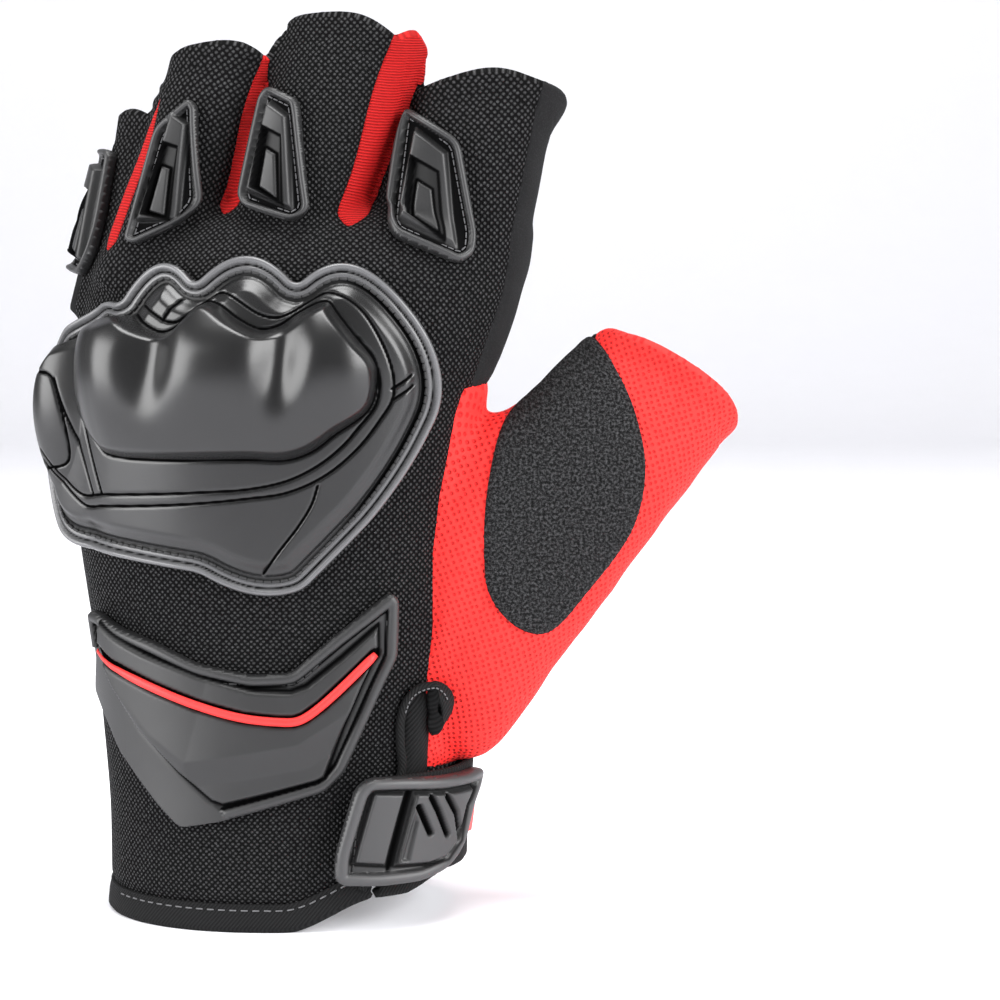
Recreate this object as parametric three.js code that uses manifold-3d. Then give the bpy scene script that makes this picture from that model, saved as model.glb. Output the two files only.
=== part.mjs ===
// A left-hand fingerless riding glove, standing on its cuff.
// Millimetres, +Z from the cuff to the fingertips, +X towards the thumb, -Y out of the back of the hand.
// The origin is the middle of the cuff's opening, on the plane that the glove stands on.
//
// The glove's outer form is the union of closed lofts: one for the hand, one for each finger stall and one
// for the thumb. The same lofts made WALL thinner give the hollow. Every panel is a piece of the wall
// between the two, and every guard is a piece of a thicker layer laid over it.

import * as THREE from 'three';
import { mergeVertices } from 'three/addons/utils/BufferGeometryUtils.js';
import Module from 'manifold-3d';

const wasm = await Module();
wasm.setup();

// ---- driving dimensions ----

const WALL = 2.0; // fabric and lining together
const GAP = 0.4; // clearance between pieces that touch
const SECTION_POWER = 2.4; // how square the cross-sections are: 2 is an ellipse
const FAR = 400; // larger than the glove

// The hand's cross-sections: height, then the left, right, back and palm sides.
const HAND_STATIONS = [
  [0, -36.5, 36.5, -24, 22],
  [12, -36.5, 36.5, -24, 21],
  [32, -37.5, 38, -23, 20],
  [50, -39, 40, -23, 19],
  [70, -42, 42, -23, 18.5],
  [90, -44.5, 43, -23.5, 18],
  [108, -45.5, 44, -24, 17],
  [120, -44, 48, -23.5, 16],
  [130, -42, 51.5, -22, 14.5],
  [140, -40, 54, -18.5, 13.5],
  [147, -36, 52, -13, 11],
  [151, -28, 40, -6, 6],
];
const ARCH_HEIGHT = 140; // the hand arches from flat at the cuff to its most at this height
const ARCH_LITTLE = [4, 14]; // how far the little-finger edge turns to the palm, at the cuff and there
const ARCH_INDEX = 2; // the same at the index edge

// The finger stalls: axis from base to top [x, z], half widths and half depths there, y, roll in
// degrees (the back of the finger turns to -X), and the height of the opening's highest edge.
const OPENING_SLANT = 22; // degrees that the openings fall towards the palm
const STALL_ROOT = 16; // how far a stall reaches down into the hand
const STALLS = {
  index: {
    base: [36, 142.5], top: [45.4, 176.4], width: [17.5, 14], depth: [11.5, 10.5], y: -1, roll: -2, crown: 175,
  },
  middle: {
    base: [4, 145.6], top: [18.8, 187], width: [13, 14.8], depth: [11.5, 11], y: -3, roll: 12, crown: 185,
  },
  ring: {
    base: [-22, 144.6], top: [-7.2, 183], width: [11.3, 11.6], depth: [11, 10.5], y: 2, roll: 18, crown: 180,
  },
  little: {
    base: [-32.6, 140], top: [-25, 169], width: [8.5, 9], depth: [8.5, 8.7], y: 11, roll: 40, crown: 168,
  },
};
// The side strips start at these shares of a stall's half width: the little-finger side, the thumb side.
const SIDE_STRIP = { index: [0.8, 0.8], middle: [0.8, 0.8], ring: [0.72, 0.8], little: [0.8, 0.4] };
// Between the fingers: [x, z], index side first
const CROTCHES = [[16.5, 145], [-10.5, 148], [-31.5, 141.4]];

// The thumb: its crotch side and its outer side [x, z], half depth and middle y, from root to rim.
const THUMB_RINGS = [
  { crotch: [34, 104], outer: [34, 32], depth: 15.5, y: 0 },
  { crotch: [44.5, 105.2], outer: [46, 35], depth: 15.5, y: 0.5 },
  { crotch: [50, 107], outer: [60.8, 54.2], depth: 15, y: 2.5 },
  { crotch: [58, 113.4], outer: [79, 78.2], depth: 14, y: 5.5 },
  { crotch: [66.4, 120], outer: [96.8, 101.2], depth: 12.5, y: 9 },
];
const THUMB_SLANT = 30; // degrees that the thumb's opening falls towards the palm
const THUMB_RUN_ON = 12; // how far the loft runs on past the rim, before it is cut
const THUMB_BINDING = 3; // height of the bound edge on the palm side of the thumb's opening

// The hinge lines. Each has a flat joint on the back of the glove and opens as a wedge on the palm side.
const FINGER_HINGE = { y: 9, z: 136.5, yaw: 4, wedge: 26 };
const THUMB_HINGE = { x: 43, y: 8, wedge: 21 };
const THUMB_TOP_Z = 105.5; // where the thumb's crotch crosses its hinge line

const SIDE_SEAM_Y = 8; // the back and palm panels meet here
const CUFF_BINDING_HEIGHT = 6.5;
// The slit: upright above the strap, and slanting under it to a notch in the hem.
const SLIT = { x: 29.5, width: 4, low: 31, high: 50, footX: 20.5, footWidth: 1.6 };
const SLIT_BINDING = { width: 1.2, proud: 0.6 };
const STRAP = { low: 10, high: 32.5, thickness: 2, clear: 1.8, face: 4.4, tag: 3.6, split: [41.5, 12] };
const HOOK_AND_LOOP = { loops: 0.9, apart: 0.3 };
const PULL_LOOP = { low: 41, high: 52, x: 36, y: -22.8, turn: 28, halfWidth: 2.6, halfDepth: 1.9, tape: 1.1 };
const FOAM_THICKNESS = 3;
const GUARD_THICKNESS = { knuckle: 3.2, wrist: 3, finger: 2.6 };
const STRIPE = { floor: 1.4, top: 3.4 }; // heights of the wrist guard's groove and of the inlay's top

// ---- small tools ----

const vec = (x, y, z) => new THREE.Vector3(x, y, z);
const radians = THREE.MathUtils.degToRad;
const signedPower = (value, power) => Math.sign(value) * Math.abs(value) ** power;

// A closed geometry as a solid that can be cut and joined.
function solidOf(geometry) {
  const bare = geometry.clone();
  bare.deleteAttribute('normal');
  bare.deleteAttribute('uv');
  const merged = mergeVertices(bare, 1e-4);
  return new wasm.Manifold(new wasm.Mesh({
    numProp: 3,
    vertProperties: merged.attributes.position.array,
    triVerts: new Uint32Array(merged.index.array),
  }));
}

// The largest of a solid's separate bodies: cuts near the crotches leave slivers beside it.
function largest(solid) {
  return solid.decompose().reduce((a, b) => (b.volume() > a.volume() ? b : a));
}

// Keeps the part of a solid on the side of a plane that its normal points to.
function keep(solid, normal, point) {
  const n = normal.clone().normalize();
  return solid.trimByPlane(n.toArray(), n.dot(point));
}

const everywhere = () => solidOf(new THREE.BoxGeometry(FAR, FAR, FAR));

// A closed loft: place(t, angle, r) gives the point at t from 0 to 1 along it; r is 0 at a cap's middle.
function loft(sides, rings, place) {
  const geometry = new THREE.CylinderGeometry(1, 1, 1, sides, rings);
  const position = geometry.attributes.position;
  const seamless = (angle) => Math.round(angle * 1e6) / 1e6;
  for (let i = 0; i < position.count; i++) {
    const [x, y, z] = [position.getX(i), position.getY(i), position.getZ(i)];
    const onAxis = Math.hypot(x, z) < 1e-6;
    const angle = onAxis ? 0 : seamless(Math.atan2(-z, x));
    const point = place(y + 0.5, Math.abs(angle) > 3.14159 ? Math.PI : angle, onAxis ? 0 : 1);
    position.setXYZ(i, point.x, point.y, point.z);
  }
  return solidOf(geometry);
}

// A solid whose outline, drawn in [x, z], runs along Y from one depth to another.
function prism(shape, yBack, yPalm, steps = 10) {
  const geometry = new THREE.ExtrudeGeometry(shape, {
    depth: yPalm - yBack,
    bevelEnabled: false,
    curveSegments: steps,
  });
  geometry.rotateX(Math.PI / 2);
  geometry.translate(0, yPalm, 0);
  return solidOf(geometry);
}

// A closed outline through points, straight between them.
const polygon = (points) => new THREE.Shape(points.map(([x, z]) => new THREE.Vector2(x, z)));

// A closed, smooth outline through points.
function smoothOutline(points, count) {
  const curve = new THREE.CatmullRomCurve3(points.map(([x, z]) => vec(x, 0, z)), true, 'centripetal');
  return polygon(curve.getPoints(count).slice(0, -1).map((p) => [p.x, p.z]));
}

// Linear reading of a table whose first column is the position.
function stationAt(table, position) {
  let i = 0;
  while (i < table.length - 2 && position > table[i + 1][0]) i += 1;
  const [low, high] = [table[i], table[i + 1]];
  const t = THREE.MathUtils.clamp((position - low[0]) / (high[0] - low[0]), 0, 1);
  return low.map((value, column) => THREE.MathUtils.lerp(value, high[column], t));
}

// ---- the glove's form ----

// The hand's surface, moved inwards by inset (outwards where it is negative).
function handForm(inset, bottom = 0) {
  const top = HAND_STATIONS.at(-1)[0] - Math.max(inset, 0);
  const heights = [bottom, ...HAND_STATIONS.slice(1, -1).map((row) => row[0]), top];
  return loft(32, heights.length - 1, (t, angle, r) => {
    const z = heights[Math.round(t * (heights.length - 1))];
    const [, left, right, back, palm] = stationAt(HAND_STATIONS, z);
    const halfWidth = (right - left) / 2 - inset;
    const depth = angle < 0 ? -back - inset : palm - inset;
    const across = r * signedPower(Math.cos(angle), 2 / SECTION_POWER);
    const [atCuff, atTop] = ARCH_LITTLE;
    const archLittle = THREE.MathUtils.lerp(atCuff, atTop, Math.min(z / ARCH_HEIGHT, 1));
    const arch = across < 0 ? archLittle : ARCH_INDEX;
    const y = r * depth * signedPower(Math.sin(angle), 2 / SECTION_POWER) + arch * across * across;
    return vec((left + right) / 2 + halfWidth * across, y, z);
  });
}

// A stall's own frame: origin at its base, along the finger, across it (to +X) and out of its palm side.
function stallFrame({ base, top, y, roll }) {
  const origin = vec(base[0], y, base[1]);
  const span = vec(top[0], y, top[1]).sub(origin);
  const along = span.clone().normalize();
  const back = vec(-Math.sin(radians(roll)), -Math.cos(radians(roll)), 0);
  const across = along.clone().cross(back).normalize();
  const palm = along.clone().cross(across);
  return { origin, along, across, palm, length: span.length() };
}

function stallPoint(frame, u, v, w) {
  return frame.origin.clone().addScaledVector(frame.across, u)
    .addScaledVector(frame.palm, v).addScaledVector(frame.along, w);
}

// The height along a stall at which its opening's highest edge lies.
function crownLength(stall, frame) {
  return (stall.crown - stall.base[1]) / frame.along.z;
}

function openingNormal(frame) {
  const slant = radians(OPENING_SLANT);
  return frame.along.clone().multiplyScalar(-Math.cos(slant)).addScaledVector(frame.palm, -Math.sin(slant));
}

function stallForm(stall, inset, open) {
  const frame = stallFrame(stall);
  const end = crownLength(stall, frame);
  const edge = stallPoint(frame, 0, -stall.depth[1], end);
  const form = loft(18, 3, (t, angle, r) => {
    const w = THREE.MathUtils.lerp(-STALL_ROOT, end + 6, t);
    const share = THREE.MathUtils.clamp(w / frame.length, 0, 1);
    const halfWidth = THREE.MathUtils.lerp(...stall.width, share) - inset;
    const halfDepth = THREE.MathUtils.lerp(...stall.depth, share) - inset;
    const u = halfWidth * signedPower(Math.cos(angle), 2 / SECTION_POWER);
    const v = halfDepth * signedPower(Math.sin(angle), 2 / SECTION_POWER);
    return stallPoint(frame, r * u, r * v, w);
  });
  return open ? form : keep(form, openingNormal(frame), edge);
}

// The plane of the thumb's opening, depth below the rim. Its normal looks out of the opening.
function rimPlane(depth) {
  const { crotch, outer, y } = THUMB_RINGS.at(-1);
  const across = vec(outer[0] - crotch[0], 0, outer[1] - crotch[1]);
  const forward = vec(-across.z, 0, across.x).normalize();
  const slant = radians(THUMB_SLANT);
  const normal = forward.multiplyScalar(Math.cos(slant)).add(vec(0, Math.sin(slant), 0));
  return { normal, point: vec(crotch[0], y, crotch[1]).addScaledVector(normal, -depth) };
}

function belowRim(solid, depth) {
  const { normal, point } = rimPlane(depth);
  return keep(solid, normal.clone().negate(), point);
}

// The thumb, cut at its rim unless it is left open to run on through it.
function thumbForm(inset, open) {
  const form = loft(22, THUMB_RINGS.length - 1, (t, angle, r) => {
    const index = Math.round(t * (THUMB_RINGS.length - 1));
    const ring = THUMB_RINGS[index];
    const crotch = vec(ring.crotch[0], ring.y, ring.crotch[1]);
    const outer = vec(ring.outer[0], ring.y, ring.outer[1]);
    const across = outer.clone().sub(crotch).multiplyScalar(0.5);
    const forward = vec(-across.z, 0, across.x).normalize();
    const u = (1 - inset / across.length()) * signedPower(Math.cos(angle), 2 / SECTION_POWER);
    const point = crotch.add(across).addScaledVector(across, r * u);
    point.y += r * (ring.depth - inset) * signedPower(Math.sin(angle), 2 / SECTION_POWER);
    return index === THUMB_RINGS.length - 1 ? point.addScaledVector(forward, THUMB_RUN_ON) : point;
  });
  return open ? form : belowRim(form, 0);
}

// The whole form, inset, and cut at its openings unless it is the hollow.
function gloveForm(inset, hollow) {
  const stalls = Object.values(STALLS).map((stall) => stallForm(stall, inset, hollow));
  const whole = handForm(inset, hollow ? -5 : 0).add(thumbForm(inset, hollow));
  return stalls.reduce((sum, stall) => sum.add(stall), whole);
}

const outerForm = gloveForm(0, false);
const hollowForm = gloveForm(WALL, true);
const wall = outerForm.subtract(hollowForm);

// A layer over the back of the glove, from one height above its surface to another.
const layer = (low, high) => gloveForm(-high, true).subtract(gloveForm(-low, true));

// ---- the hinges' cuts ----

const palmWards = vec(Math.sin(radians(FINGER_HINGE.yaw)), Math.cos(radians(FINGER_HINGE.yaw)), 0);
const fingerAxisPoint = vec(0, FINGER_HINGE.y, FINGER_HINGE.z);

// The part of a solid above the fingers' hinge (side 1) or below it (side -1).
function fingerSide(solid, side) {
  const level = fingerAxisPoint.clone().add(vec(0, 0, side * GAP / 2));
  const wedge = radians(FINGER_HINGE.wedge);
  const slope = vec(0, 0, side * Math.cos(wedge)).addScaledVector(palmWards, -Math.sin(wedge));
  return keep(keep(solid, vec(0, 0, side), level), slope, level);
}

// The part of a solid on the thumb's side of its hinge.
function thumbSide(solid) {
  const hinge = vec(THUMB_HINGE.x + GAP / 2, THUMB_HINGE.y, 0);
  const wedge = radians(THUMB_HINGE.wedge);
  const flat = keep(keep(solid, vec(1, 0, 0), hinge), vec(Math.cos(wedge), -Math.sin(wedge), 0), hinge);
  return keep(flat, vec(1, 0, -1), vec(THUMB_HINGE.x, 0, THUMB_TOP_Z));
}

// The rest of it: what the thumb takes is cut away with the clearance, and the wedge on the palm side.
function withoutThumb(solid) {
  const hinge = vec(THUMB_HINGE.x - GAP / 2, THUMB_HINGE.y, 0);
  const wedge = radians(THUMB_HINGE.wedge);
  const below = keep(everywhere(), vec(1, 0, -1), vec(THUMB_HINGE.x, 0, THUMB_TOP_Z + GAP));
  const flat = keep(below, vec(1, 0, 0), hinge);
  const slope = keep(below, vec(Math.cos(wedge), Math.sin(wedge), 0), hinge);
  return solid.subtract(flat).subtract(keep(slope, vec(0, 1, 0), hinge));
}

// ---- regions on the hand ----

// The thumb panel's seam on the back of the hand [x, z], from the strap up to the crotch.
const GUSSET_SEAM = [[33.2, 33.5], [33.2, 50], [33.6, 62], [33.8, 78], [35, 89], [36.9, 98], [38.4, 106],
  [40, 111], [43.5, 115]];

function gussetRegion() {
  const [low, high] = [GUSSET_SEAM[0][1], GUSSET_SEAM.at(-1)[1]];
  return prism(polygon([...GUSSET_SEAM, [60, high], [60, low]]), -60, SIDE_SEAM_Y);
}

// Under the strap, the palm panel comes round the thumb's edge as far as the slit.
function flapRegion(margin) {
  const top = GUSSET_SEAM[0][1] - GAP + margin;
  const left = SLIT.x + 0.4 - margin;
  const foot = SLIT.footX + 0.4 - margin;
  const outline = [[foot, -10], [60, -10], [60, top], [left, top], [left, SLIT.low]];
  return prism(polygon(outline), -60, SIDE_SEAM_Y + 2);
}

function slitRegion(margin) {
  const half = SLIT.width / 2 + margin;
  const foot = SLIT.footWidth / 2 + margin;
  const shape = new THREE.Shape();
  shape.moveTo(SLIT.footX - foot, -10);
  shape.lineTo(SLIT.footX + foot, -10);
  shape.lineTo(SLIT.footX + foot, CUFF_BINDING_HEIGHT);
  shape.lineTo(SLIT.x + half, SLIT.low + 2);
  shape.lineTo(SLIT.x + half, SLIT.high - half);
  shape.absarc(SLIT.x, SLIT.high - half + margin, half, 0, Math.PI, false);
  shape.lineTo(SLIT.x - half, SLIT.low + 2);
  shape.lineTo(SLIT.footX - foot, CUFF_BINDING_HEIGHT);
  return prism(shape, -60, 0, 6);
}

// ---- panels ----

const handWall = withoutThumb(fingerSide(wall, -1));
const fingerWall = fingerSide(wall, 1);
const aboveCuff = (solid) => keep(solid, vec(0, 0, 1), vec(0, 0, CUFF_BINDING_HEIGHT + GAP));
const onBack = (solid, y) => keep(solid, vec(0, -1, 0), vec(0, y - GAP / 2, 0));
const onPalm = (solid, y) => keep(solid, vec(0, 1, 0), vec(0, y + GAP / 2, 0));

function handPanels() {
  const gusset = gussetRegion();
  const back = onBack(aboveCuff(handWall), SIDE_SEAM_Y);
  const slit = slitRegion(SLIT_BINDING.width + GAP);
  const inset = gusset.intersect(gusset.translate(GAP, 0, 0));
  const palm = onPalm(aboveCuff(handWall), SIDE_SEAM_Y).add(aboveCuff(handWall).intersect(flapRegion(0)));
  return {
    back_panel: largest(back.subtract(gusset.add(slit).add(flapRegion(GAP)))),
    palm_panel: largest(palm.subtract(slit)),
    thumb_gusset: largest(back.intersect(inset).subtract(slit).subtract(flapRegion(GAP))),
  };
}

function cuffPieces() {
  const band = gloveForm(-0.6, true).subtract(gloveForm(WALL + 0.4, true));
  const ring = keep(keep(band, vec(0, 0, -1), vec(0, 0, CUFF_BINDING_HEIGHT)), vec(0, 0, 1), vec(0, 0, 0));
  const lip = slitRegion(SLIT_BINDING.width).subtract(slitRegion(0));
  const proud = gloveForm(-SLIT_BINDING.proud, false).subtract(hollowForm);
  const edge = aboveCuff(lip.intersect(proud));
  const lining = gloveForm(WALL + GAP, true).subtract(gloveForm(WALL + GAP + 1, true));
  const behind = keep(lining, vec(0, -1, 0), vec(0, 0, 0));
  const gusset = prism(polygon([[15, 8], [26, 8], [35, 30], [35, 53], [22, 53]]), -60, 0).intersect(behind);
  return {
    cuff_binding: largest(ring.subtract(slitRegion(0))),
    slit_binding: largest(edge),
    wrist_gusset: largest(gusset),
  };
}

// The pull loop: a flat tape bent into a narrow eye, standing out beside the slit.
function pullLoop() {
  const { low, high, x, y, turn, halfWidth, halfDepth, tape } = PULL_LOOP;
  const outline = new THREE.Shape();
  outline.absellipse(0, 0, halfWidth, halfDepth, 0, 2 * Math.PI, false, 0);
  const eye = new THREE.Path();
  eye.absellipse(0, 0, halfWidth - tape, halfDepth - tape, 0, 2 * Math.PI, true, 0);
  outline.holes.push(eye);
  const settings = { depth: high - low, bevelEnabled: false, curveSegments: 8 };
  const geometry = new THREE.ExtrudeGeometry(outline, settings);
  geometry.rotateZ(radians(turn));
  geometry.translate(x, y, low);
  return solidOf(geometry).subtract(gloveForm(-GAP, true));
}

// ---- finger stalls ----

// The plane across a stall at a share of its half width; side 1 looks to +X, -1 to -X.
function sidePlane(name, side, shift) {
  const stall = STALLS[name];
  const frame = stallFrame(stall);
  const share = SIDE_STRIP[name][side < 0 ? 0 : 1];
  const [low, high] = stall.width.map((width) => side * (share * width + shift));
  const foot = stallPoint(frame, low, 0, 0);
  const rise = stallPoint(frame, high, 0, frame.length).sub(foot);
  const normal = frame.palm.clone().cross(rise).normalize().multiplyScalar(side);
  return { normal, foot };
}

// The plane midway between a stall and its neighbour on the little-finger side, looking to +X.
function crotchPlane(i) {
  const [here, next] = Object.values(STALLS).slice(i, i + 2).map(stallFrame);
  const rise = here.along.clone().add(next.along);
  return { normal: vec(rise.z, 0, -rise.x).normalize(), foot: vec(CROTCHES[i][0], 0, CROTCHES[i][1]) };
}

const outwards = (solid, { normal, foot }) => keep(solid, normal, foot);
const inwards = (solid, { normal, foot }) => keep(solid, normal.clone().negate(), foot);

function fingerPanels() {
  const names = Object.keys(STALLS);
  const pieces = {};
  names.forEach((name, i) => {
    const stall = STALLS[name];
    const frame = stallFrame(stall);
    const thumbwards = names[i - 1];
    const littlewards = names[i + 1];
    let part = fingerWall;
    if (thumbwards) {
      const { normal, foot } = crotchPlane(i - 1);
      part = keep(inwards(part, sidePlane(name, 1, -GAP / 2)), normal.clone().negate(),
        foot.clone().addScaledVector(normal, -GAP / 2));
    }
    if (littlewards) {
      const { normal, foot } = crotchPlane(i);
      part = keep(inwards(part, sidePlane(name, -1, -GAP / 2)), normal,
        foot.clone().addScaledVector(normal, GAP / 2));
    }
    const strip = (side) => sidePlane(name, side, 0);
    const top = inwards(inwards(everywhere(), strip(1)), strip(-1));
    const backRegion = keep(top, frame.palm.clone().negate(), frame.origin);
    const palmCut = keep(inwards(inwards(everywhere(), sidePlane(name, 1, GAP)), sidePlane(name, -1, GAP)),
      frame.palm.clone().negate(), stallPoint(frame, 0, GAP, 0));
    pieces[`${name}_back`] = largest(part.intersect(backRegion));
    pieces[`${name}_palm`] = largest(part.subtract(palmCut));
    if (littlewards) {
      const beside = outwards(fingerWall, sidePlane(name, -1, GAP / 2));
      pieces[`fourchette_${name}_${littlewards}`] = largest(
        outwards(beside, sidePlane(littlewards, 1, GAP / 2)));
    }
  });
  return pieces;
}

// ---- thumb ----

const TERRY_OUTLINE = [[67, 121.4], [72.5, 113.5], [76, 104.5], [77.6, 94], [75, 82], [66, 69.5], [57, 60.6],
  [51, 62], [45.2, 69], [44, 78], [45, 93], [48.5, 104.6], [56, 112], [62.5, 118.5]];

function thumbPieces() {
  const thumbWall = thumbSide(wall);
  const seamY = 7;
  const rim = gloveForm(-0.5, false).subtract(gloveForm(WALL + 0.3, true));
  const { normal, point } = rimPlane(THUMB_BINDING);
  const binding = keep(onPalm(belowRim(thumbSide(rim), 0), seamY), normal, point);
  const patch = prism(smoothOutline(TERRY_OUTLINE, 30), -60, 0).intersect(layer(GAP, 1.8));
  return {
    thumb_back: largest(onBack(thumbWall, seamY)),
    thumb_palm: largest(belowRim(onPalm(thumbWall, seamY), THUMB_BINDING + GAP)),
    thumb_binding: largest(keep(binding, vec(1, 0, 0), vec(55, 0, 0))),
    thumb_terry_patch: largest(keep(belowRim(patch, GAP), vec(1, 0, 0), vec(THUMB_HINGE.x + GAP, 0, 0))),
  };
}

// ---- guards ----

// Knuckle domes [x, y, z] and their half sizes.
const DOMES = [
  { at: [13.6, -21.5, 117], size: [10, 10.5, 14.5] },
  { at: [-5.5, -22, 115.5], size: [12.5, 10.5, 16] },
  { at: [-27.5, -17, 114.5], size: [10.5, 10.5, 14.5] },
  { at: [-41, -6, 110], size: [8.5, 9, 14] },
];
const FOAM_OUTLINE = [[-36, 120], [0, 128], [27, 120], [26, 100], [2, 78], [-36, 84]];

function knuckleOutline() {
  const outline = new THREE.Shape();
  outline.moveTo(-36.8, 128.6);
  const scallops = [[-33.6, 130.2, -29.5, 128.5], [-21, 143, -13.8, 132.6], [-3.3, 144, 6.3, 132.6],
    [17, 143.4, 28.8, 128.1]];
  scallops.forEach((curve) => outline.quadraticCurveTo(...curve));
  outline.bezierCurveTo(34.5, 121, 36.5, 112, 32.1, 103.8);
  outline.quadraticCurveTo(28, 94.5, 20.3, 85.1);
  outline.lineTo(7.4, 71.6);
  outline.quadraticCurveTo(-1.9, 67.6, -13.5, 74.9);
  outline.lineTo(-37.5, 78.2);
  outline.quadraticCurveTo(-46, 77.5, -49, 90);
  outline.bezierCurveTo(-54, 103, -54, 118, -46, 124);
  outline.lineTo(-36.8, 128.6);
  return outline;
}

const GUARD_WRAP_Y = 7.5; // the guards wrap the little-finger edge as far as this
const WRIST_OUTLINE = [[-46, 65], [-38.7, 64.2], [-23.6, 59.8], [-14.3, 55.8], [-3.5, 53.8], [4.5, 54.2], [13.7, 62],
  [24.5, 70.5], [25.9, 69], [25.5, 57.3], [22.2, 50.3], [14.9, 33.5], [11.2, 29.7], [-9.9, 23.4], [-18, 21.6],
  [-22.6, 26], [-34.1, 40.7], [-40, 46.5], [-46, 48], [-42, 54.6], [-44, 57.6]];
const STRIPE_OUTLINE = [[-36.2, 57], [-23.6, 51.2], [-9.6, 45.8], [4.8, 43.7], [20.8, 57], [20.2, 54.4],
  [4.9, 41.6], [-9.8, 43.6], [-24, 49.1], [-35.6, 54.6]];

// The stripe's shape drawn in on every side, so that the inlay is loose in its groove.
function insetStripe() {
  const shape = prism(polygon(STRIPE_OUTLINE), -60, -4);
  const shifts = [[GAP, 0, 0], [-GAP, 0, 0], [0, 0, GAP], [0, 0, -GAP]];
  return shifts.reduce((rest, shift) => rest.intersect(shape.translate(...shift)), shape);
}

function guardPieces() {
  const knuckle = prism(knuckleOutline(), -60, GUARD_WRAP_Y, 4);
  const domes = DOMES.map(({ at, size }) => solidOf(new THREE.SphereGeometry(1, 14, 10).scale(...size)
    .translate(...at)));
  const base = knuckle.intersect(gloveForm(-GUARD_THICKNESS.knuckle, true));
  const raised = domes.reduce((sum, dome) => sum.add(dome.intersect(knuckle)), base);
  const foamZone = prism(smoothOutline(FOAM_OUTLINE, 24), -60, -1);
  const foam = gloveForm(WALL + GAP, true).subtract(gloveForm(WALL + GAP + FOAM_THICKNESS, true));
  const wristLayer = layer(GAP, GUARD_THICKNESS.wrist);
  const wristPlate = prism(polygon(WRIST_OUTLINE), -60, GUARD_WRAP_Y).intersect(wristLayer);
  const groove = prism(polygon(STRIPE_OUTLINE), -60, -4).intersect(layer(STRIPE.floor, 9));
  const inlay = insetStripe().intersect(layer(STRIPE.floor + GAP, STRIPE.top));
  return {
    knuckle_guard: largest(raised.subtract(gloveForm(-GAP, true))),
    knuckle_foam: largest(foamZone.intersect(foam)),
    wrist_guard: largest(wristPlate.subtract(groove)),
    wrist_guard_stripe: largest(inlay),
  };
}

// Finger guards as outlines [u, w] in their stall's own frame.
const FINGER_GUARDS = {
  index: [[-13.8, 23.6], [-2.7, 20], [5.1, 3.2], [5.7, -2], [3.4, -4.4], [-10.4, -2.8], [-12.5, -0.6],
    [-14.6, 21.2]],
  middle: [[-10.4, 25], [-3.9, 24.2], [-2.7, 22], [5.7, 3.9], [3.6, 0.3], [-7.2, 0.3], [-8.7, 2.2],
    [-11.6, 22.5]],
  ring: [[-0.7, 26.7], [1.2, 25.7], [8.2, 7.5], [6.6, 2.2], [-0.7, -5.2], [-3, -5], [-5.2, 18.6]],
  little: [[-5.4, 19], [2.6, 19.6], [5.6, -3], [3.4, -7.5], [-5.4, -7.5], [-7, -3]],
};

function fingerGuards() {
  const pieces = {};
  Object.entries(FINGER_GUARDS).forEach(([name, outline]) => {
    const frame = stallFrame(STALLS[name]);
    const geometry = new THREE.ExtrudeGeometry(polygon(outline), { depth: 40, bevelEnabled: false });
    const basis = new THREE.Matrix4().makeBasis(frame.across, frame.along, frame.palm.clone().negate());
    geometry.applyMatrix4(basis.setPosition(frame.origin));
    const plate = solidOf(geometry).intersect(layer(GAP, GUARD_THICKNESS.finger));
    pieces[`guard_${name}`] = largest(plate);
  });
  return pieces;
}

// ---- palm pads ----

const PALM_PADS = {
  palm_pad_thumb: [[14, 52], [30, 56], [36, 74], [30, 92], [19, 96], [12, 84], [10, 66]],
  palm_pad_heel: [[-30, 26], [-6, 24], [4, 32], [2, 48], [-12, 56], [-28, 52], [-34, 38]],
  palm_pad_outer: [[-36, 66], [-22, 62], [-12, 70], [-14, 92], [-22, 108], [-34, 104], [-38, 84]],
};

function palmPads() {
  const foam = gloveForm(WALL + GAP, true).subtract(gloveForm(WALL + GAP + FOAM_THICKNESS, true));
  const inside = onPalm(foam, 4);
  const pieces = {};
  Object.entries(PALM_PADS).forEach(([name, outline]) => {
    pieces[name] = largest(prism(smoothOutline(outline, 20), 0, 60).intersect(inside));
  });
  return pieces;
}

// ---- strap ----

// The strap's layer round the cuff, between two clearances from the glove.
function strapLayer(low, high) {
  const band = handForm(-high, -5).subtract(handForm(-low, -10));
  return keep(keep(band, vec(0, 0, 1), vec(0, 0, STRAP.low)), vec(0, 0, -1), vec(0, 0, STRAP.high));
}

// Outlines on the back of the cuff and on its palm side [x, z].
const BAND_OUTLINE = [[14.7, 13], [21, 34], [60, 34], [60, 9], [14.7, 9]];
const FACE_OUTLINE = [[15.6, 12], [21.8, 32], [40.4, 31.9], [38.6, 20.5], [35, 13], [26.4, 11]];
const TAG_OUTLINE = [[41, 19], [43.6, 19.4], [45, 30], [42.6, 30]];
const TAB_OUTLINE = [[60, 9], [4, 10], [-3, 13], [-5, 17], [-5, 24], [-3, 29], [4, 32], [60, 34]];
const LOOP_OUTLINE = [[-16, 11], [26, 11], [26, 32], [-16, 32]];
const HOOK_OUTLINE = [[-1, 14], [20, 13], [20, 30], [-1, 29]];

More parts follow.
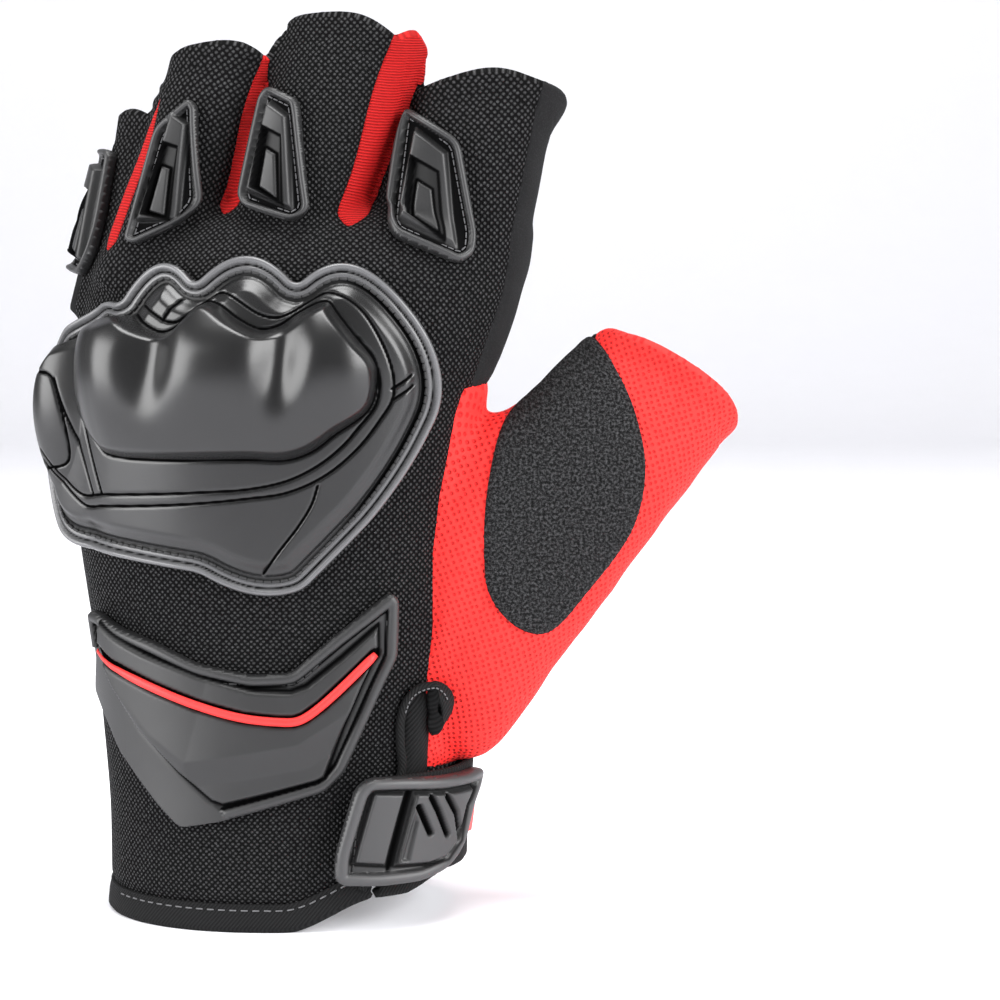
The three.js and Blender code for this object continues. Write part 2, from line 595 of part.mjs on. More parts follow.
function strapPieces() {
  const [splitX, splitY] = STRAP.split;
  const { clear, thickness } = STRAP;
  const round = strapLayer(clear, clear + thickness);
  const overStrap = clear + thickness + GAP;
  const hinge = vec(splitX, splitY, 0);
  const above = (outline) => prism(polygon(outline), -60, 6);
  const below = (outline) => prism(polygon(outline), 0, 60);
  const band = keep(round.intersect(prism(polygon(BAND_OUTLINE), -60, 60)), vec(0, -1, 0),
    vec(0, splitY - GAP / 2, 0));
  const tab = keep(round.intersect(below(TAB_OUTLINE)), vec(0, 1, 0), hinge.clone().add(vec(0, GAP / 2, 0)));
  return {
    strap_band: largest(band),
    strap_tab: largest(tab),
    strap_face: largest(above(FACE_OUTLINE).intersect(strapLayer(overStrap, clear + STRAP.face))),
    strap_tag: largest(above(TAG_OUTLINE).intersect(strapLayer(overStrap, clear + STRAP.tag))),
    loop_patch: largest(below(LOOP_OUTLINE).intersect(strapLayer(GAP, HOOK_AND_LOOP.loops))),
    hook_patch: largest(below(HOOK_OUTLINE).intersect(
      strapLayer(HOOK_AND_LOOP.loops + HOOK_AND_LOOP.apart, clear - HOOK_AND_LOOP.apart))),
  };
}

// ---- materials ----

const MATERIALS = {
  knit: { color: 0x1b1b1d, roughness: 0.9 },
  mesh: { color: 0xb51a25, roughness: 0.85 },
  rib: { color: 0xa5141f, roughness: 0.8 },
  suede: { color: 0x242322, roughness: 0.95 },
  moulded: { color: 0x1d1e20, roughness: 0.35 },
  rubber: { color: 0x2b2c2e, roughness: 0.6 },
  tape: { color: 0x161617, roughness: 0.8 },
  terry: { color: 0x2c2c2f, roughness: 1.0 },
  foam: { color: 0x4a4a4d, roughness: 1.0 },
  inlay: { color: 0xb71b26, roughness: 0.6 },
};

const MATERIAL_OF = {
  back_panel: 'knit', palm_panel: 'suede', thumb_gusset: 'mesh', knuckle_guard: 'moulded', knuckle_foam: 'foam',
  wrist_guard: 'rubber', wrist_guard_stripe: 'inlay', cuff_binding: 'tape', slit_binding: 'tape',
  pull_loop: 'tape', wrist_gusset: 'knit', loop_patch: 'terry', palm_pad_thumb: 'foam', palm_pad_heel: 'foam',
  palm_pad_outer: 'foam', index_back: 'knit', middle_back: 'knit', ring_back: 'knit', little_back: 'knit',
  index_palm: 'suede', middle_palm: 'suede', ring_palm: 'suede', little_palm: 'suede',
  fourchette_index_middle: 'rib', fourchette_middle_ring: 'rib', fourchette_ring_little: 'rib',
  guard_index: 'moulded', guard_middle: 'moulded', guard_ring: 'moulded', guard_little: 'moulded',
  thumb_back: 'mesh', thumb_palm: 'suede', thumb_terry_patch: 'terry', thumb_binding: 'tape',
  strap_band: 'tape', strap_face: 'rubber', strap_tag: 'inlay', strap_tab: 'rubber', hook_patch: 'terry',
};

// ---- assembly ----

function meshOf(name, solid) {
  const { vertProperties, triVerts } = solid.getMesh();
  const geometry = new THREE.BufferGeometry();
  geometry.setAttribute('position', new THREE.BufferAttribute(vertProperties, 3));
  geometry.setIndex(new THREE.BufferAttribute(triVerts, 1));
  geometry.computeVertexNormals();
  const mesh = new THREE.Mesh(geometry, new THREE.MeshStandardMaterial(MATERIALS[MATERIAL_OF[name]]));
  mesh.name = name;
  return mesh;
}

const pieces = {
  ...handPanels(),
  ...cuffPieces(),
  pull_loop: largest(pullLoop()),
  ...fingerPanels(),
  ...thumbPieces(),
  ...guardPieces(),
  ...fingerGuards(),
  ...palmPads(),
  ...strapPieces(),
};

const glove = new THREE.Group();
glove.name = 'riding_glove';
Object.entries(pieces).forEach(([name, solid]) => glove.add(meshOf(name, solid)));

export default glove;
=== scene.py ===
"""The looks of a left-hand fingerless riding glove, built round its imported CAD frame.

Lengths are in millimetres until a mesh is made, and the axes are the frame's: +Z from the cuff to the
fingertips, +X towards the thumb, -Y out of the back of the hand. The glove's skin is one smooth form, cut
along its seams into panels. The guards, patches and the strap are reliefs laid over that form.
"""

import math

import bpy
import numpy as np
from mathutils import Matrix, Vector, noise
from mathutils.bvhtree import BVHTree
from mathutils.kdtree import KDTree


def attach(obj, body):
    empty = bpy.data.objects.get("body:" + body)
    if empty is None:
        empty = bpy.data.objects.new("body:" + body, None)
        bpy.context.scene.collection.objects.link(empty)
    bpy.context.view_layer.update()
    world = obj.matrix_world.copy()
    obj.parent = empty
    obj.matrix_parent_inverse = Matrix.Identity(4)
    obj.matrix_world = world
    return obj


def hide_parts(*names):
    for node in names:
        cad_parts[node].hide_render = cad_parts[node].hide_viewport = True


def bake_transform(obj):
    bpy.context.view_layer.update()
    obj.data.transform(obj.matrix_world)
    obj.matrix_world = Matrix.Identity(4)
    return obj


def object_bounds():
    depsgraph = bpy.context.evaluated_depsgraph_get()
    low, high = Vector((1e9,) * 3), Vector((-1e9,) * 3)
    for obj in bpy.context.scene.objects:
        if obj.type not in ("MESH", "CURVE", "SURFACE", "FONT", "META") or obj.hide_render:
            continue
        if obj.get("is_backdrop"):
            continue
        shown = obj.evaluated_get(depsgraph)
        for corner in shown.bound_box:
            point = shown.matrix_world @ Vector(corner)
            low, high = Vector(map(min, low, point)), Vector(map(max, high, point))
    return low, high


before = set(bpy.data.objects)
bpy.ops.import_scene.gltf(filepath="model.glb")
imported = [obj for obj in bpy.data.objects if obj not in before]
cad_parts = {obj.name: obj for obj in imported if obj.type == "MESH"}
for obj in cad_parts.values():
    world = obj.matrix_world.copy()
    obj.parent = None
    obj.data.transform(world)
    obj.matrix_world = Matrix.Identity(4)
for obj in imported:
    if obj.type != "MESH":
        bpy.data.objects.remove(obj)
cad_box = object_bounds()

MM = 0.001
SECTION_POWER = 2.4  # how square the cross-sections are: 2 is an ellipse
VOXEL = 1.0  # size of the form's cells
FINE = 0.4  # size of a relief's cells

# ---- driving dimensions, as in the CAD part ----

HAND = np.array([  # height, then the left, right, back and palm sides
    [0, -36.5, 36.5, -24, 22],
    [12, -36.5, 36.5, -24, 21],
    [32, -37.5, 38, -23, 20],
    [50, -39, 40, -23, 19],
    [70, -42, 42, -23, 18.5],
    [90, -44.5, 43, -23.5, 18],
    [108, -45.5, 44, -24, 17],
    [120, -44, 48, -23.5, 16],
    [130, -42, 51.5, -22, 14.5],
    [140, -40, 54, -18.5, 13.5],
    [147, -36, 52, -13, 11],
    [151, -28, 40, -6, 6],
], float)
ARCH_HEIGHT = 140
ARCH_LITTLE = (4, 14)
ARCH_INDEX = 2

STALLS = {  # strip: where the side strips start, as shares of the half width, at the foot and at the top
    "index": dict(base=(36, 142.5), top=(45.4, 176.4), width=(17.5, 14), depth=(11.5, 10.5), y=-1, roll=-2,
                  crown=176, strip=((0.97, 0.97), (0.76, 0.76)), flare=3.0, tilt=-0.25),
    "middle": dict(base=(4, 145.6), top=(18.8, 187), width=(13, 14.8), depth=(11.5, 11), y=-3, roll=12,
                   crown=186.3, strip=((0.8, 1.02), (0.8, 0.66)), tilt=-0.1),
    "ring": dict(base=(-22, 144.6), top=(-7.2, 183), width=(11.3, 11.6), depth=(11, 10.5), y=2, roll=18,
                 crown=181, strip=((0.6, 1.02), (0.96, 0.8)), tilt=-0.26),
    "little": dict(base=(-32.6, 140), top=(-24.5, 169), width=(8.5, 8.3), depth=(8.5, 8), y=12, roll=40,
                   crown=167, strip=((0.8, 0.8), (0.66, 0.9)), tilt=-0.05),
}
RAISED_EDGES = {  # side of the finger, its rise over the opening and whether the back has it too
    "index": (-1, 2.0, True),
    "middle": (1, 3.8, True),
    "ring": (1, 2.5, True),
    "little": (1, 10.0, False),
}
CREASE = 0.35  # softness of the change from one finger to the next where their walls meet
CROTCH_TOP = 153  # everything lower is inside the openings
STRIP_ENDS = (145.4, 147.2, 139.5)  # height of each side strip's rounded end on the back
NAMES = list(STALLS)
OPENING_SLANT = math.radians(22)
EDGE_SAG, EDGE_WAVE, EDGE_WAVE_LENGTH = 0.008, 0.4, 3  # how the back edge of a finger's opening waves
STALL_ROOT = 16
CROTCHES = ((16.5, 145), (-10.5, 148), (-31.5, 141.4))

THUMB = np.array([  # ring, crotch side x and z, outer side x and z, half depth, middle y
    [-1, 22, 98, 22, 42, 11, 0],
    [0, 34, 104, 34, 32, 15, 0],
    [1, 44.5, 105.2, 46, 35, 15.5, 0.5],
    [2, 50, 107, 60.8, 54.2, 15, 2.5],
    [3, 58, 113.4, 79, 78.2, 14, 5.5],
    [4, 66.4, 120, 96.8, 101.2, 12.5, 9],
    [5, 72.7, 130.2, 103.1, 111.4, 12.5, 9],
], float)
THUMB_SLANT = math.radians(30)

SIDE_SEAM_Y = 8
INDEX_SLIVER = 3.6  # width of the palm's suede seen along the index edge of the back


# ---- numbers ----

def power(value, exponent):
    return np.sign(value) * np.abs(value) ** exponent


def ease(low, high, value):
    """0 below low, 1 above high and smooth between them."""
    t = np.clip((np.asarray(value, float) - low) / (high - low), 0, 1)
    return t * t * (3 - 2 * t)


def mix(a, b, share):
    return a + (b - a) * share


def round_ridge(distance, centre, half):
    """The profile of a half-round bead: 1 on its centre and 0 outside it."""
    return np.sqrt(np.clip(1 - ((distance - centre) / half) ** 2, 0, 1))


def smooth_read(table, at):
    """The rows of a table whose first column is the position, read smoothly between them."""
    at = np.asarray(at, float)
    slopes = np.gradient(table[:, 1:], table[:, 0], axis=0)
    i = np.clip(np.searchsorted(table[:, 0], at) - 1, 0, len(table) - 2)
    width = (table[i + 1, 0] - table[i, 0])[..., None]
    t = np.clip((at - table[i, 0])[..., None] / width, 0, 1)
    start = table[i, 1:] * (1 + 2 * t) * (1 - t) ** 2 + slopes[i] * width * t * (1 - t) ** 2
    end = table[i + 1, 1:] * t * t * (3 - 2 * t) - slopes[i + 1] * width * t * t * (1 - t)
    return start + end


def normalized(vectors):
    return vectors / np.maximum(np.linalg.norm(vectors, axis=-1, keepdims=True), 1e-9)


def noise_at(points, size, seed=0):
    """Smooth noise from -1 to 1 at each point. size is its grain in millimetres, one or three numbers."""
    scaled = points / np.asarray(size, float) + np.array([17.3, 5.1, 9.7]) * (seed + 1)
    return np.array([noise.noise(p) for p in scaled.tolist()])


def curve_through(points, count, closed=False):
    """A smooth line through points, as count points. The curve is a centripetal Catmull-Rom spline."""
    points = np.asarray(points, float)
    if closed:
        padded = np.vstack([points[-1:], points, points[:2]])
    else:
        first = 2 * points[:1] - points[1:2]
        last = 2 * points[-1:] - points[-2:-1]
        padded = np.vstack([first, points, last])
    pieces = len(padded) - 3
    at = np.linspace(0, pieces, count, endpoint=not closed)
    i = np.minimum(at.astype(int), pieces - 1)
    t = (at - i)[:, None]
    p0, p1, p2, p3 = padded[i], padded[i + 1], padded[i + 2], padded[i + 3]
    k0 = np.zeros_like(t)
    k1 = k0 + np.sqrt(np.linalg.norm(p1 - p0, axis=1))[:, None] + 1e-6
    k2 = k1 + np.sqrt(np.linalg.norm(p2 - p1, axis=1))[:, None] + 1e-6
    k3 = k2 + np.sqrt(np.linalg.norm(p3 - p2, axis=1))[:, None] + 1e-6
    k = k1 + t * (k2 - k1)
    a1 = (k1 - k) / (k1 - k0) * p0 + (k - k0) / (k1 - k0) * p1
    a2 = (k2 - k) / (k2 - k1) * p1 + (k - k1) / (k2 - k1) * p2
    a3 = (k3 - k) / (k3 - k2) * p2 + (k - k2) / (k3 - k2) * p3
    b1 = (k2 - k) / (k2 - k0) * a1 + (k - k0) / (k2 - k0) * a2
    b2 = (k3 - k) / (k3 - k1) * a2 + (k - k1) / (k3 - k1) * a3
    return (k2 - k) / (k2 - k1) * b1 + (k - k1) / (k2 - k1) * b2


def spaced(line, pitch):
    """Points at equal spacing along a line, and the direction of the line at each."""
    line = np.asarray(line, float)
    steps = np.linalg.norm(np.diff(line, axis=0), axis=1)
    reach = np.concatenate([[0], np.cumsum(steps)])
    at = np.arange(pitch / 2, reach[-1], pitch)
    points = np.stack([np.interp(at, reach, column) for column in line.T], -1)
    ahead = np.stack([np.interp(at + 0.2, reach, column) for column in line.T], -1)
    behind = np.stack([np.interp(at - 0.2, reach, column) for column in line.T], -1)
    return points, normalized(ahead - behind)


def line_distance(points, line, closed=False):
    """Distance of 2-D points from a line of straight pieces."""
    line = np.asarray(line, float)
    if closed:
        line = np.vstack([line, line[:1]])
    best = np.full(len(points), 1e9)
    for a, b in zip(line[:-1], line[1:]):
        along = b - a
        length = max(along @ along, 1e-12)
        t = np.clip((points - a) @ along / length, 0, 1)
        gap = points - a - t[:, None] * along
        best = np.minimum(best, np.einsum("ij,ij->i", gap, gap))
    return np.sqrt(best)


def inward(points, outline):
    """How far 2-D points lie inside a closed outline; negative outside it."""
    distance = line_distance(points, outline, closed=True)
    inside = np.zeros(len(points), bool)
    for a, b in zip(outline, np.roll(outline, -1, axis=0)):
        spans = (a[1] > points[:, 1]) != (b[1] > points[:, 1])
        rise = b[1] - a[1] if abs(b[1] - a[1]) > 1e-12 else 1e-12
        crossing = a[0] + (points[:, 1] - a[1]) / rise * (b[0] - a[0])
        inside ^= spans & (points[:, 0] < crossing)
    return np.where(inside, distance, -distance)


# ---- the glove's form ----

def hand_point(angle, z, lift=0.0):
    """A point of the hand's surface, lifted off it. Angle 0 is the thumb's side and -90 degrees is the
    back."""
    z = np.broadcast_to(z, np.broadcast(angle, z).shape)
    left, right, back, palm = np.moveaxis(smooth_read(HAND, z), -1, 0)
    across = power(np.cos(angle), 2 / SECTION_POWER)
    depth = np.where(np.sin(angle) < 0, -back, palm) + lift
    arch = np.where(across < 0, mix(*ARCH_LITTLE, np.clip(z / ARCH_HEIGHT, 0, 1)), ARCH_INDEX)
    x = (left + right) / 2 + ((right - left) / 2 + lift) * across
    y = depth * power(np.sin(angle), 2 / SECTION_POWER) + arch * across ** 2
    return np.stack([x, y, z], -1)


class Stall:
    """A finger's stall and its own axes: across it (to +X), out of its palm side, and along it."""

    def __init__(self, base, top, width, depth, y, roll, crown, strip, tilt, flare=0.0):
        self.origin = np.array([base[0], y, base[1]], float)
        span = np.array([top[0], y, top[1]], float) - self.origin
        self.length = float(np.linalg.norm(span))
        self.along = span / self.length
        turn = math.radians(roll)
        back = np.array([-math.sin(turn), -math.cos(turn), 0])
        self.across = normalized(np.cross(self.along, back))
        self.palm = np.cross(self.along, self.across)
        self.width, self.depth, self.strip = width, depth, strip
        self.tilt, self.flare = tilt, flare
        self.crown = (crown - base[1]) / self.along[2]

    def point(self, u, v, w):
        return (self.origin + np.asarray(u)[..., None] * self.across + np.asarray(v)[..., None] * self.palm
                + np.asarray(w)[..., None] * self.along)

    def local(self, points):
        offset = points - self.origin
        return offset @ self.across, offset @ self.palm, offset @ self.along

    def surface(self, angle, w):
        share = np.clip(w / self.length, 0, 1)
        flare = self.flare * ease(self.crown - 12, self.crown + 2, w) * np.maximum(np.cos(angle), 0) ** 2
        u = mix(*self.width, share) * power(np.cos(angle), 2 / SECTION_POWER) + flare
        v = mix(*self.depth, share) * power(np.sin(angle), 2 / SECTION_POWER)
        return self.point(u, v, w)

    def past_opening(self, points):
        """How far points lie outside the stall's opening, whose edge waves a little."""
        u, v, w = self.local(points)
        slant = OPENING_SLANT
        wave = EDGE_WAVE * np.sin(u / EDGE_WAVE_LENGTH + self.origin[0])
        back_edge = self.tilt * u + EDGE_SAG * u ** 2 + wave
        return ((w - self.crown) * math.cos(slant) + (v + self.depth[1]) * math.sin(slant)
                + back_edge * ease(4, -4, v))

    def gap(self, points):
        """Roughly how far points lie outside the stall's wall; below zero inside it."""
        u, v, w = self.local(points)
        share = np.clip(w / self.length, 0, 1)
        depth = mix(*self.depth, share)
        reach = np.abs(u / mix(*self.width, share)) ** SECTION_POWER + np.abs(v / depth) ** SECTION_POWER
        return (reach ** (1 / SECTION_POWER) - 1) * depth

    def side(self, points, direction):
        """How far points lie beyond the stall's side strip, on its thumb side (1) or the other (-1)."""
        u, _, w = self.local(points)
        share = np.clip(w / self.length, 0, 1)
        low, high = self.strip[1 if direction > 0 else 0]
        return direction * u - mix(low, high, ease(0.25, 0.8, share)) * mix(*self.width, share)


stalls = {name: Stall(**row) for name, row in STALLS.items()}


def thumb_point(angle, t):
    crotch_x, crotch_z, outer_x, outer_z, depth, y = np.moveaxis(smooth_read(THUMB, t), -1, 0)
    share = (1 + power(np.cos(angle), 2 / SECTION_POWER)) / 2
    x = mix(crotch_x, outer_x, share)
    z = mix(crotch_z, outer_z, share)
    return np.stack([x, y + depth * power(np.sin(angle), 2 / SECTION_POWER), z], -1)


def past_thumb_rim(points):
    crotch_x, crotch_z, outer_x, outer_z, _, y = THUMB[5, 1:]
    across = normalized(np.array([outer_x - crotch_x, 0, outer_z - crotch_z]))
    forward = np.array([-across[2], 0, across[0]])
    normal = forward * math.cos(THUMB_SLANT) + np.array([0, math.sin(THUMB_SLANT), 0])
    return (points - np.array([crotch_x, y, crotch_z])) @ normal


def loft(rows):
    """A closed loft from rows of points: its points and faces, with a fan at each end."""
    rings, sides = rows.shape[:2]
    points = np.vstack([rows.reshape(-1, 3), rows[0].mean(0), rows[-1].mean(0)])
    ends = rings * sides, rings * sides + 1
    faces = []
    for i in range(rings - 1):
        for j in range(sides):
            k = (j + 1) % sides
            faces.append((i * sides + j, i * sides + k, (i + 1) * sides + k, (i + 1) * sides + j))
    for j in range(sides):
        k = (j + 1) % sides
        faces.append((ends[0], k, j))
        faces.append((ends[1], (rings - 1) * sides + j, (rings - 1) * sides + k))
    return points, faces


def form_lofts():
    angle = np.linspace(-math.pi, math.pi, 120, endpoint=False)[None, :]
    yield loft(hand_point(angle, np.linspace(-8, 151, 110)[:, None]))
    yield loft(thumb_point(angle, np.linspace(-1, 5, 60)[:, None]))
    for stall in stalls.values():
        yield loft(stall.surface(angle, np.linspace(-STALL_ROOT, stall.crown + 8, 50)[:, None]))


def glove_form():
    """The union of the lofts as one smooth surface: its points, their normals and its triangles."""
    points, faces, start = [], [], 0
    for more_points, more_faces in form_lofts():
        points.append(more_points)
        faces += [tuple(i + start for i in face) for face in more_faces]
        start += len(more_points)
    mesh = bpy.data.meshes.new("form")
    mesh.from_pydata(np.vstack(points).tolist(), [], faces)
    obj = bpy.data.objects.new("form", mesh)
    bpy.context.scene.collection.objects.link(obj)
    remesh = obj.modifiers.new("union", "REMESH")
    remesh.mode = "VOXEL"
    remesh.voxel_size = VOXEL
    smooth = obj.modifiers.new("smooth", "SMOOTH")
    smooth.factor = 0.5
    smooth.iterations = 14
    made = obj.evaluated_get(bpy.context.evaluated_depsgraph_get()).to_mesh()
    made.calc_loop_triangles()
    form = read_mesh(made)
    bpy.data.objects.remove(obj)
    bpy.data.meshes.remove(mesh)
    return form


def read_mesh(mesh):
    """A mesh as rows of x, y, z and the normal, and its triangles."""
    points = np.empty(len(mesh.vertices) * 3, np.float32)
    mesh.vertices.foreach_get("co", points)
    normals = np.empty(len(mesh.vertices) * 3, np.float32)
    mesh.vertex_normals.foreach_get("vector", normals)
    triangles = np.empty(len(mesh.loop_triangles) * 3, np.int32)
    mesh.loop_triangles.foreach_get("vertices", triangles)
    rows = np.hstack([points.reshape(-1, 3), normals.reshape(-1, 3)]).astype(float)
    return rows, triangles.reshape(-1, 3).astype(int)


# ---- cutting a surface along its seams ----

def clip(rows, triangles, field):
    """The part of a surface where field, given at its points, is above zero. Columns are interpolated."""
    field = np.where(np.abs(field) < 0.04, 0.04, field)
    inside = field > 0
    count = inside[triangles].sum(1)

    def turned(which, odd):
        """Triangles rotated so that the odd one out of each comes first."""
        chosen = triangles[which]
        first = np.argmax(inside[chosen] == odd, axis=1)
        order = (first[:, None] + np.arange(3)) % 3
        return np.take_along_axis(chosen, order, 1)

    one = turned(count == 1, True)
    two = turned(count == 2, False)
    edges = np.vstack([one[:, [0, 1]], one[:, [0, 2]], two[:, [0, 1]], two[:, [0, 2]]])
    keys, index = np.unique(np.sort(edges, axis=1), axis=0, return_inverse=True)
    index = index.reshape(-1) + len(rows)
    a, b = keys[:, 0], keys[:, 1]
    t = (field[a] / (field[a] - field[b]))[:, None]
    rows = np.vstack([rows, rows[a] + (rows[b] - rows[a]) * t])
    n, m = len(one), len(two)
    ab, ac = index[:n], index[n:2 * n]
    ob, oc = index[2 * n:2 * n + m], index[2 * n + m:]
    kept = np.vstack([
        triangles[count == 3],
        np.stack([one[:, 0], ab, ac], -1),
        np.stack([ob, two[:, 1], two[:, 2]], -1),
        np.stack([ob, two[:, 2], oc], -1),
    ])
    return compact(rows, kept)


def compact(rows, triangles):
    used, index = np.unique(triangles, return_inverse=True)
    return rows[used], index.reshape(-1, 3)


def split(surface, field):
    """The two parts of a surface: where field(points) is above zero, and the rest."""
    rows, triangles = surface
    values = field(rows[:, :3])
    return clip(rows, triangles, values), clip(rows, triangles, -values)


def largest(surface):
    """The largest of a surface's separate parts."""
    rows, triangles = surface
    label = np.arange(len(rows))
    while True:
        low = label[triangles].min(1)
        new = label.copy()
        for corner in range(3):
            np.minimum.at(new, triangles[:, corner], low)
        new = new[new]
        if np.array_equal(new, label):
            break
        label = new
    names, sizes = np.unique(label[triangles[:, 0]], return_counts=True)
    return compact(rows, triangles[label[triangles[:, 0]] == names[sizes.argmax()]])


def border(triangles):
    """The edges that only one triangle has, in that triangle's order."""
    edges = np.vstack([triangles[:, [0, 1]], triangles[:, [1, 2]], triangles[:, [2, 0]]])
    _, index, counts = np.unique(np.sort(edges, axis=1), axis=0, return_index=True, return_counts=True)
    return edges[index[counts == 1]]


def distance_to(points, targets):
    if len(targets) == 0:
        return np.full(len(points), 99.0)
    tree = KDTree(len(targets))
    for i, p in enumerate(targets):
        tree.insert(p, i)
    tree.balance()
    return np.array([tree.find(p)[2] for p in points])


# ---- meshes ----

def flat_uv(points, triangles):
    """The surface opened flat as its cloth was cut: u and v in millimetres, v along the glove."""
    mesh = bpy.data.meshes.new("flat")
    mesh.from_pydata(points.tolist(), [], triangles.tolist())
    obj = bpy.data.objects.new("flat", mesh)
    bpy.context.scene.collection.objects.link(obj)
    bpy.context.view_layer.objects.active = obj
    obj.select_set(True)
    mesh.uv_layers.new(name="UVMap")
    bpy.ops.object.mode_set(mode="EDIT")
    bpy.ops.mesh.select_all(action="SELECT")
    bpy.ops.uv.unwrap(method="CONFORMAL", margin=0)
    bpy.ops.object.mode_set(mode="OBJECT")
    loops = np.empty(len(mesh.loops) * 2, np.float32)
    mesh.uv_layers[0].uv.foreach_get("vector", loops)
    corners = np.empty(len(mesh.loops), np.int32)
    mesh.loops.foreach_get("vertex_index", corners)
    bpy.data.objects.remove(obj)
    bpy.data.meshes.remove(mesh)
    uv = np.zeros((len(points), 2))
    uv[corners] = loops.reshape(-1, 2)
    a, b, c = (uv[triangles[:, i]] for i in range(3))
    flat = np.cross(b - a, c - a)
    pa, pb, pc = (points[triangles[:, i]] for i in range(3))
    real = np.linalg.norm(np.cross(pb - pa, pc - pa), axis=1)
    scale = np.sqrt(np.median(real / np.maximum(np.abs(flat), 1e-12)))
    rise_b, rise_c = pb[:, 2] - pa[:, 2], pc[:, 2] - pa[:, 2]
    area = np.where(np.abs(flat) < 1e-12, 1e-12, flat)
    slope_u = (rise_b * (c - a)[:, 1] - rise_c * (b - a)[:, 1]) / area
    slope_v = (rise_c * (b - a)[:, 0] - rise_b * (c - a)[:, 0]) / area
    weight = real / np.maximum(np.hypot(slope_u, slope_v), 1e-9)
    up = normalized(np.array([(slope_u * weight).sum(), (slope_v * weight).sum()]))
    turned = np.stack([uv @ np.array([up[1], -up[0]]), uv @ up], -1)
    return turned * scale


def make_object(name, points, faces, uv=None, marks=None):
    """A smooth-shaded object from points in millimetres. marks are numbers at its points."""
    mesh = bpy.data.meshes.new(name)
    mesh.from_pydata((np.asarray(points) * MM).tolist(), [], faces)
    if uv is not None:
        corners = np.empty(len(mesh.loops), np.int32)
        mesh.loops.foreach_get("vertex_index", corners)
        layer = mesh.uv_layers.new(name="UVMap")
        layer.uv.foreach_set("vector", np.asarray(uv)[corners].astype(np.float32).ravel())
    for mark, values in (marks or {}).items():
        attribute = mesh.attributes.new(mark, "FLOAT", "POINT")
        attribute.data.foreach_set("value", np.asarray(values, np.float32))
    mesh.shade_smooth()
    obj = bpy.data.objects.new(name, mesh)
    bpy.context.scene.collection.objects.link(obj)
    return obj


def closed_wall(top, bottom, triangles, bulge, steps=4):
    """A closed wall between two copies of a surface, with a rounded edge that stands out by bulge.
    Returns its points, its faces and, for each point, the index of the surface point it belongs to."""
    edges = border(triangles)
    rim = np.unique(edges)
    place = np.full(len(top), -1)
    place[rim] = np.arange(len(rim))
    upright = normalized(top - bottom)
    out = np.zeros_like(top)
    along = top[edges[:, 1]] - top[edges[:, 0]]
    for end in range(2):
        np.add.at(out, edges[:, end], np.cross(along, upright[edges[:, end]]))
    out = normalized(out[rim])
    shares = np.arange(1, steps) / steps
    width = np.broadcast_to(bulge, len(top))[rim]
    rings = [mix(top[rim], bottom[rim], s) + out * (width * math.sin(math.pi * s))[:, None] for s in shares]
    points = np.vstack([top, bottom, *rings])
    owner = np.concatenate([np.arange(len(top))] * 2 + [rim] * len(rings))
    n = len(top)
    ladders = [edges] + [2 * n + k * len(rim) + place[edges] for k in range(len(rings))] + [edges + n]
    faces = triangles.tolist() + (triangles[:, ::-1] + n).tolist()
    for upper, lower in zip(ladders[:-1], ladders[1:]):
        faces += np.stack([upper[:, 1], upper[:, 0], lower[:, 0], lower[:, 1]], -1).tolist()
    return points, faces, owner


# ---- soft panels ----

class Skin:
    """The cut panels' outer surfaces, gathered so that stitches and loose pieces can be laid on them."""

    def __init__(self):
        self.points, self.triangles, self.count = [], [], 0

    def add(self, points, triangles):
        self.points.append(points)
        self.triangles.append(triangles + self.count)
        self.count += len(points)

    def tree(self):
        points = np.vstack(self.points)
        triangles = np.vstack(self.triangles)
        return BVHTree.FromPolygons(points.tolist(), triangles.tolist())


def is_open_edge(points):
    """Whether points lie on an opening's edge or on the hem, and not on a seam."""
    return np.abs(past_openings(points)) < 0.5


SEAM_REACH = 1.1  # how far from a seam a panel is drawn in
HEM_REACH, HEM_FALL = 2.2, 2.6  # how far a turned hem stands proud and is thick
HEM_STITCH_AT, HEM_STITCH_HALF = 4.4, 0.6  # the hem's stitched crease
EDGE = 0.4  # this near an opening a wall's edge is fully rounded


def panel(name, surface, material, wall=1.3, lift=0.0, tuck=0.55, fold=None, hem=0.9):
    """A soft panel. Its seams are drawn in by tuck, its open edges are turned hems and fold shapes it."""
    rows, triangles = largest(surface)
    points, normals = rows[:, :3], normalized(rows[:, 3:6])
    rim = np.unique(border(triangles))
    opened = is_open_edge(points[rim])
    to_seam = distance_to(points, points[rim[~opened]])
    to_opening = distance_to(points, points[rim[opened]])
    rise = lift - tuck * np.exp(-(to_seam / SEAM_REACH) ** 2)
    rise = rise + hem * 0.5 * np.exp(-(to_opening / HEM_REACH) ** 2)
    rise = rise - 0.3 * np.exp(-((to_opening - HEM_STITCH_AT) / HEM_STITCH_HALF) ** 2)
    if fold is not None:
        rise = rise + fold(points) * ease(0, 6, to_seam) * ease(0, 3, to_opening)
    thickness = wall + hem * np.exp(-(to_opening / HEM_FALL) ** 2)
    top = points + normals * rise[:, None]
    bottom = top - normals * thickness[:, None]
    bulge = np.where(to_opening < EDGE, thickness * 0.45, 0.12)
    all_points, faces, owner = closed_wall(top, bottom, triangles, bulge)
    uv = flat_uv(points, triangles)
    inner = np.zeros(len(all_points))
    inner[len(top):2 * len(top)] = 1
    marks = {"inner": inner, "seam": np.minimum(to_seam, 20)[owner]}
    obj = make_object(name, all_points, faces, uv[owner], marks)
    obj.data.materials.append(material)
    skin.add(top, triangles)
    return obj


# ---- reliefs: guards, patches and the strap ----

